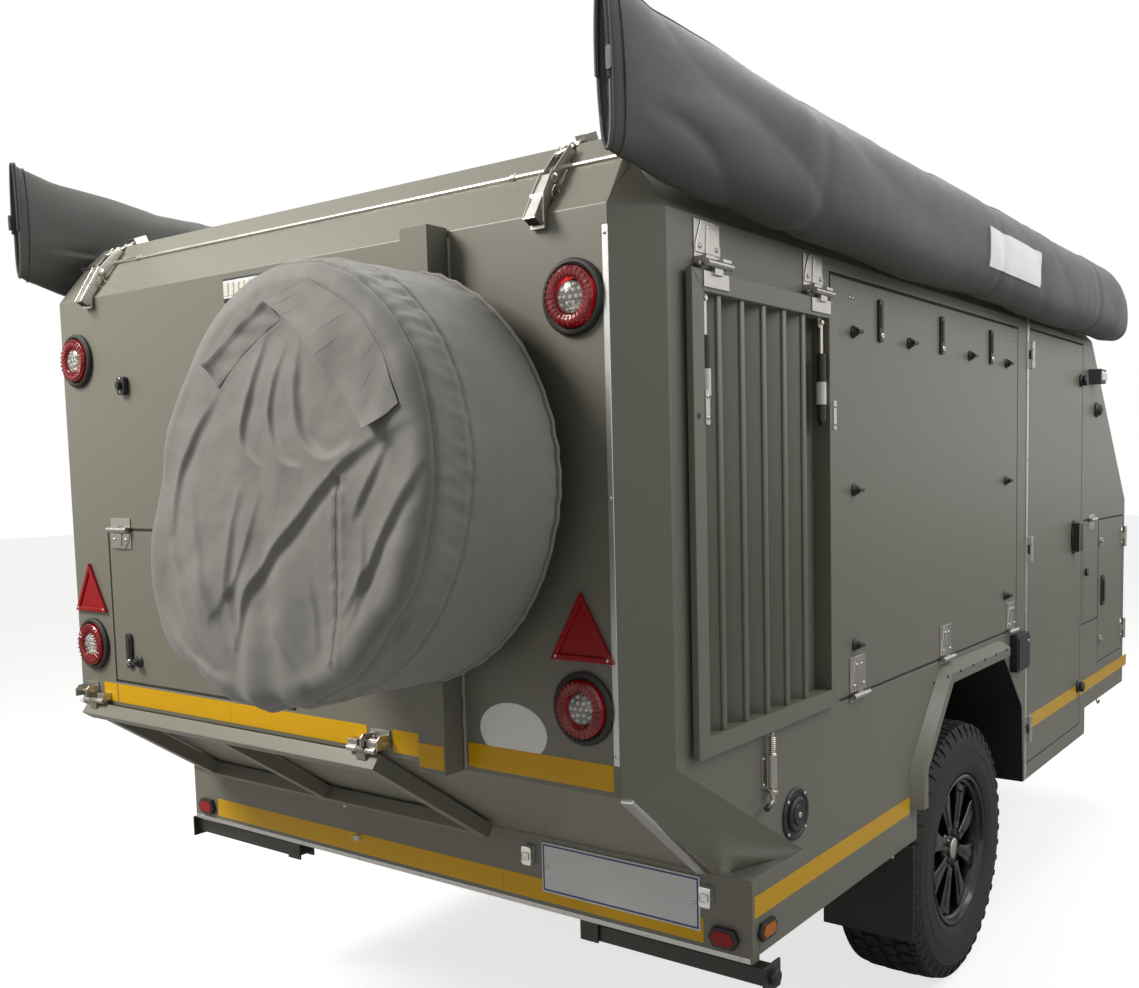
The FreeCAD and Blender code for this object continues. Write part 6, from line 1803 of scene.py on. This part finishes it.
class CARAVAN_OT_stage(bpy.types.Operator):
    """Make the floor, the soft studio light and the camera"""
    bl_idname = "caravan.stage"
    bl_label = "Stage"

    def execute(self, context):
        scene = context.scene
        settings = scene.caravan_stage
        scene.view_settings.view_transform = "Standard"
        world = bpy.data.worlds.new("Studio")
        world.use_nodes = True
        scene.world = world
        tree = Tree(world.node_tree)
        world.node_tree.nodes.clear()
        light = tree.add("ShaderNodeLightPath").outputs
        shows = tree.math("MAXIMUM", light["Is Camera Ray"],
                          tree.math("MAXIMUM", light["Is Glossy Ray"], light["Is Transmission Ray"]))
        strength = tree.math("ADD", settings.ambient, tree.math("MULTIPLY", shows, 1.0 - settings.ambient))
        back = tree.add("ShaderNodeBackground", {"Color": (1, 1, 1, 1), "Strength": strength})
        tree.add("ShaderNodeOutputWorld", {"Surface": back.outputs[0]})

        bpy.ops.mesh.primitive_plane_add(size=60)
        floor = context.object
        floor.name = "floor"
        made = Finish("floor", Roughness=0.9)
        self.floor_shader(made)
        floor.data.materials.append(made.material)
        for name, place, target, size, power, tint in (
                ("key", (-2.3, -4.9, 4.6), (0, -2.4, 1.6), 1.7, settings.key, (1.0, 0.97, 0.90)),
                ("top", (0.4, 0.6, 5.6), (0, 0.3, 1.0), 4.0, settings.key * 0.7, (1.0, 0.985, 0.95)),
                ("side", (4.6, 0.2, 4.4), (0.9, 0.2, 1.7), 3.0, settings.fill, (0.93, 0.97, 1.0))):
            lamp = bpy.data.lights.new(name, "AREA")
            lamp.size, lamp.energy, lamp.color = size, power, tint
            thing = bpy.data.objects.new(name, lamp)
            scene.collection.objects.link(thing)
            thing.location = place
            thing.rotation_euler = (Vector(target) - Vector(place)).to_track_quat("-Z", "Y").to_euler()
        self.camera(scene)
        return {"FINISHED"}

    def floor_shader(self, made):
        """A pale floor that keeps shadows and reads as white where it is lit."""
        tree = made.tree
        tone = made.use("Mottle", Broad=0.8, Fine=40.0, Colour=(0.46, 0.46, 0.455, 1), Depth=0.03)
        made.feed("Base Color", tone["Colour"])
        light = tree.add("ShaderNodeLightPath").outputs
        strength = tree.math("MULTIPLY", light["Is Camera Ray"], 0.74)
        glow = tree.add("ShaderNodeEmission", {"Color": (1, 1, 1, 1), "Strength": strength})
        both = tree.add("ShaderNodeAddShader", {0: made.shader.outputs[0], 1: glow.outputs[0]})
        tree.tree.links.new(both.outputs[0], tree.tree.nodes["Material Output"].inputs["Surface"])

    def camera(self, scene):
        """A camera at the photograph's viewpoint, worked out for a frame of 1139 by 988 pixels."""
        width, height, focal = 1139, 988, 1128.4
        middle = (664.3, 561.0)
        yaw, pitch, roll = (math.radians(a) for a in (34.44, -4.72, -1.09))
        forward = Vector((-math.sin(yaw) * math.cos(pitch), math.cos(yaw) * math.cos(pitch), math.sin(pitch)))
        level = Vector((math.cos(yaw), math.sin(yaw), 0))
        upright = level.cross(forward)
        right = level * math.cos(roll) + upright * math.sin(roll)
        up = upright * math.cos(roll) - level * math.sin(roll)
        data = bpy.data.cameras.new("camera")
        data.sensor_width = 36
        data.lens = focal * data.sensor_width / width
        data.shift_x = (width / 2 - middle[0]) / width
        data.shift_y = (middle[1] - height / 2) / width
        thing = bpy.data.objects.new("camera", data)
        scene.collection.objects.link(thing)
        turn = Matrix((right, up, -forward)).transposed().to_4x4()
        thing.matrix_world = Matrix.Translation((2.15, -3.999, 1.593)) @ turn
        scene.camera = thing


class CARAVAN_OT_shell(bpy.types.Operator):
    """Skin the shell's panels, hatches and door"""
    bl_idname = "caravan.shell"
    bl_label = "Shell"

    def execute(self, context):
        ahead = shell_tree()
        for node in SHELL:
            body = {"roof_cap": "roof"}.get(node, node if node in BODIES else "body")
            if node == "roof_seal":
                soft_copy(node, body, ["rubber"], 0.6)
            else:
                panel_skin(node, body, ahead)
        for body, node, word, slot in (
                ("body", "wheel_boxes", "flap", "rubber"),
                ("body", "fender_flares", "paint", "body_paint"),
                ("body", "trailing_arms", "chassis", "black_paint"),
                ("body", "chassis_rails", "zinc", "zinc"),
                ("body", "cross_members", "zinc", "zinc"),
                ("body", "drawbar", "zinc", "zinc"),
                ("body", "coupler", "chassis", "black_paint"),
                ("body", "mud_flaps", "flap", "rubber"),
                ("body", "steady_brackets", "chassis", "black_paint"),
                ("body", "spare_post", "bars", "body_paint"),
                ("body", "fixed_hinges", "stainless", "stainless"),
                ("body", "jockey_tube", "zinc", "zinc"),
                ("jockey_fork", "jockey_fork", "zinc", "zinc"),
                ("jockey_wheel", "jockey_wheel", "rubber", "rubber"),
                ("rear_rack", "rear_rack", "bars", "body_paint"),
                ("steady_right", "steady_right", "chassis", "black_paint"),
                ("steady_left", "steady_left", "chassis", "black_paint"),
                ("locker_hatch", "locker_hinge", "stainless", "stainless"),
                ("rear_hatch", "rear_hatch_hinges", "stainless", "stainless")):
            soft_copy(node, body, [word])
        for side in ("right", "left"):
            for hatch in ("kitchen", "nose", "louvre"):
                soft_copy(f"{hatch}_hinges_{side}", f"{hatch}_hatch_{side}", ["stainless"], 0.8)
        soft_copy("door_fittings", "entry_door", ["stainless", "plastic"], 1.0,
                  lambda across, station, height: int(station > 2700))
        seals_and_gap_shade()
        return {"FINISHED"}


class CARAVAN_OT_hatches(bpy.types.Operator):
    """Make the louvre hatches with their struts, the hinge castings, latches and handles"""
    bl_idname = "caravan.hatches"
    bl_label = "Hatches"

    def execute(self, context):
        hinge_castings()
        door_and_lockers()
        for side, word in SIDES:
            louvre_hatch(side, word)
            kitchen_fittings(side, word)
        return {"FINISHED"}


class CARAVAN_OT_markings(bpy.types.Operator):
    """Lay the reflective tape, trims, bare plate and sealant"""
    bl_idname = "caravan.markings"
    bl_label = "Markings"

    def execute(self, context):
        markings()
        return {"FINISHED"}


class CARAVAN_OT_lamps(bpy.types.Operator):
    """Make the tail lamps, reflectors, plate lamps and work lamp"""
    bl_idname = "caravan.lamps"
    bl_label = "Lamps"

    def execute(self, context):
        lamps_and_reflectors()
        return {"FINISHED"}


class CARAVAN_OT_fittings(bpy.types.Operator):
    """Make the small fittings of the walls, the rack and the hitch"""
    bl_idname = "caravan.fittings"
    bl_label = "Fittings"

    def execute(self, context):
        wall_fittings()
        rack_and_steadies()
        underbody()
        return {"FINISHED"}


class CARAVAN_OT_roof(bpy.types.Operator):
    """Make the roof bar with its clamps, the awning arms and the roof vent"""
    bl_idname = "caravan.roof"
    bl_label = "Roof fittings"

    def execute(self, context):
        roof_bar()
        roof_fittings()
        return {"FINISHED"}


class CARAVAN_OT_wheels(bpy.types.Operator):
    """Make the two road wheels and the spare with their tread and spokes"""
    bl_idname = "caravan.wheels"
    bl_label = "Wheels"

    def execute(self, context):
        wheels()
        return {"FINISHED"}


class CARAVAN_OT_cloth(bpy.types.Operator):
    """Make the spare wheel's cover and the awning bags"""
    bl_idname = "caravan.cloth"
    bl_label = "Cover and bags"

    def execute(self, context):
        spare_cover()
        for side, word in SIDES:
            awning_bag(side, word)
        return {"FINISHED"}


class CARAVAN_OT_fasteners(bpy.types.Operator):
    """Put a head on every screw, bolt and rivet, one mesh for each body"""
    bl_idname = "caravan.fasteners"
    bl_label = "Fasteners"

    def execute(self, context):
        form = Form()
        profile = [(0, 0), (0, 1), (0.16, 1), (0.42, 0.82), (0.58, 0.5), (0.6, 0.42), (0.34, 0.36), (0.34, 0)]
        form.turned(profile, Matrix.Identity(4), 12)
        mesh = bpy.data.meshes.new("head")
        mesh.from_pydata(form.points, [], form.faces)
        head = bpy.data.objects.new("head", mesh)
        for (body, kind), spots in SCREWS.items():
            name = f"screws_{body}_{kind}"
            base = bpy.data.meshes.new(name)
            base.from_pydata([s[0] for s in spots], [], [])
            base.attributes.new("facing", "FLOAT_VECTOR", "POINT").data.foreach_set(
                "vector", np.array([s[1] for s in spots], np.float32).ravel())
            base.attributes.new("radius", "FLOAT", "POINT").data.foreach_set(
                "value", np.array([s[2] for s in spots], np.float32))
            thing = grow(name, base, "heads", kind, Head=head)
            grown_piece(thing, body, smooth=40)
        bpy.data.objects.remove(head)
        return {"FINISHED"}


class CARAVAN_PT_panel(bpy.types.Panel):
    bl_label = "Caravan"
    bl_idname = "CARAVAN_PT_panel"
    bl_space_type = "VIEW_3D"
    bl_region_type = "UI"
    bl_category = "Caravan"

    def draw(self, context):
        for group in (context.scene.caravan_colours, context.scene.caravan_stage):
            for word in group.__annotations__:
                self.layout.prop(group, word)
        for operator in OPERATORS:
            self.layout.operator(operator.bl_idname)


OPERATORS = (CARAVAN_OT_stage, CARAVAN_OT_shell, CARAVAN_OT_hatches, CARAVAN_OT_markings, CARAVAN_OT_lamps,
             CARAVAN_OT_fittings, CARAVAN_OT_roof, CARAVAN_OT_wheels, CARAVAN_OT_cloth, CARAVAN_OT_fasteners)
CLASSES = (CaravanColours, CaravanStage, *OPERATORS, CARAVAN_PT_panel)


def register():
    for item in CLASSES:
        bpy.utils.register_class(item)
    bpy.types.Scene.caravan_colours = bpy.props.PointerProperty(type=CaravanColours)
    bpy.types.Scene.caravan_stage = bpy.props.PointerProperty(type=CaravanStage)


def unregister():
    del bpy.types.Scene.caravan_stage
    del bpy.types.Scene.caravan_colours
    for item in reversed(CLASSES):
        bpy.utils.unregister_class(item)


def main():
    register()
    for operator in OPERATORS:
        group, word = operator.bl_idname.split(".")
        getattr(getattr(bpy.ops, group), word)()


if __name__ == "__main__":
    main()
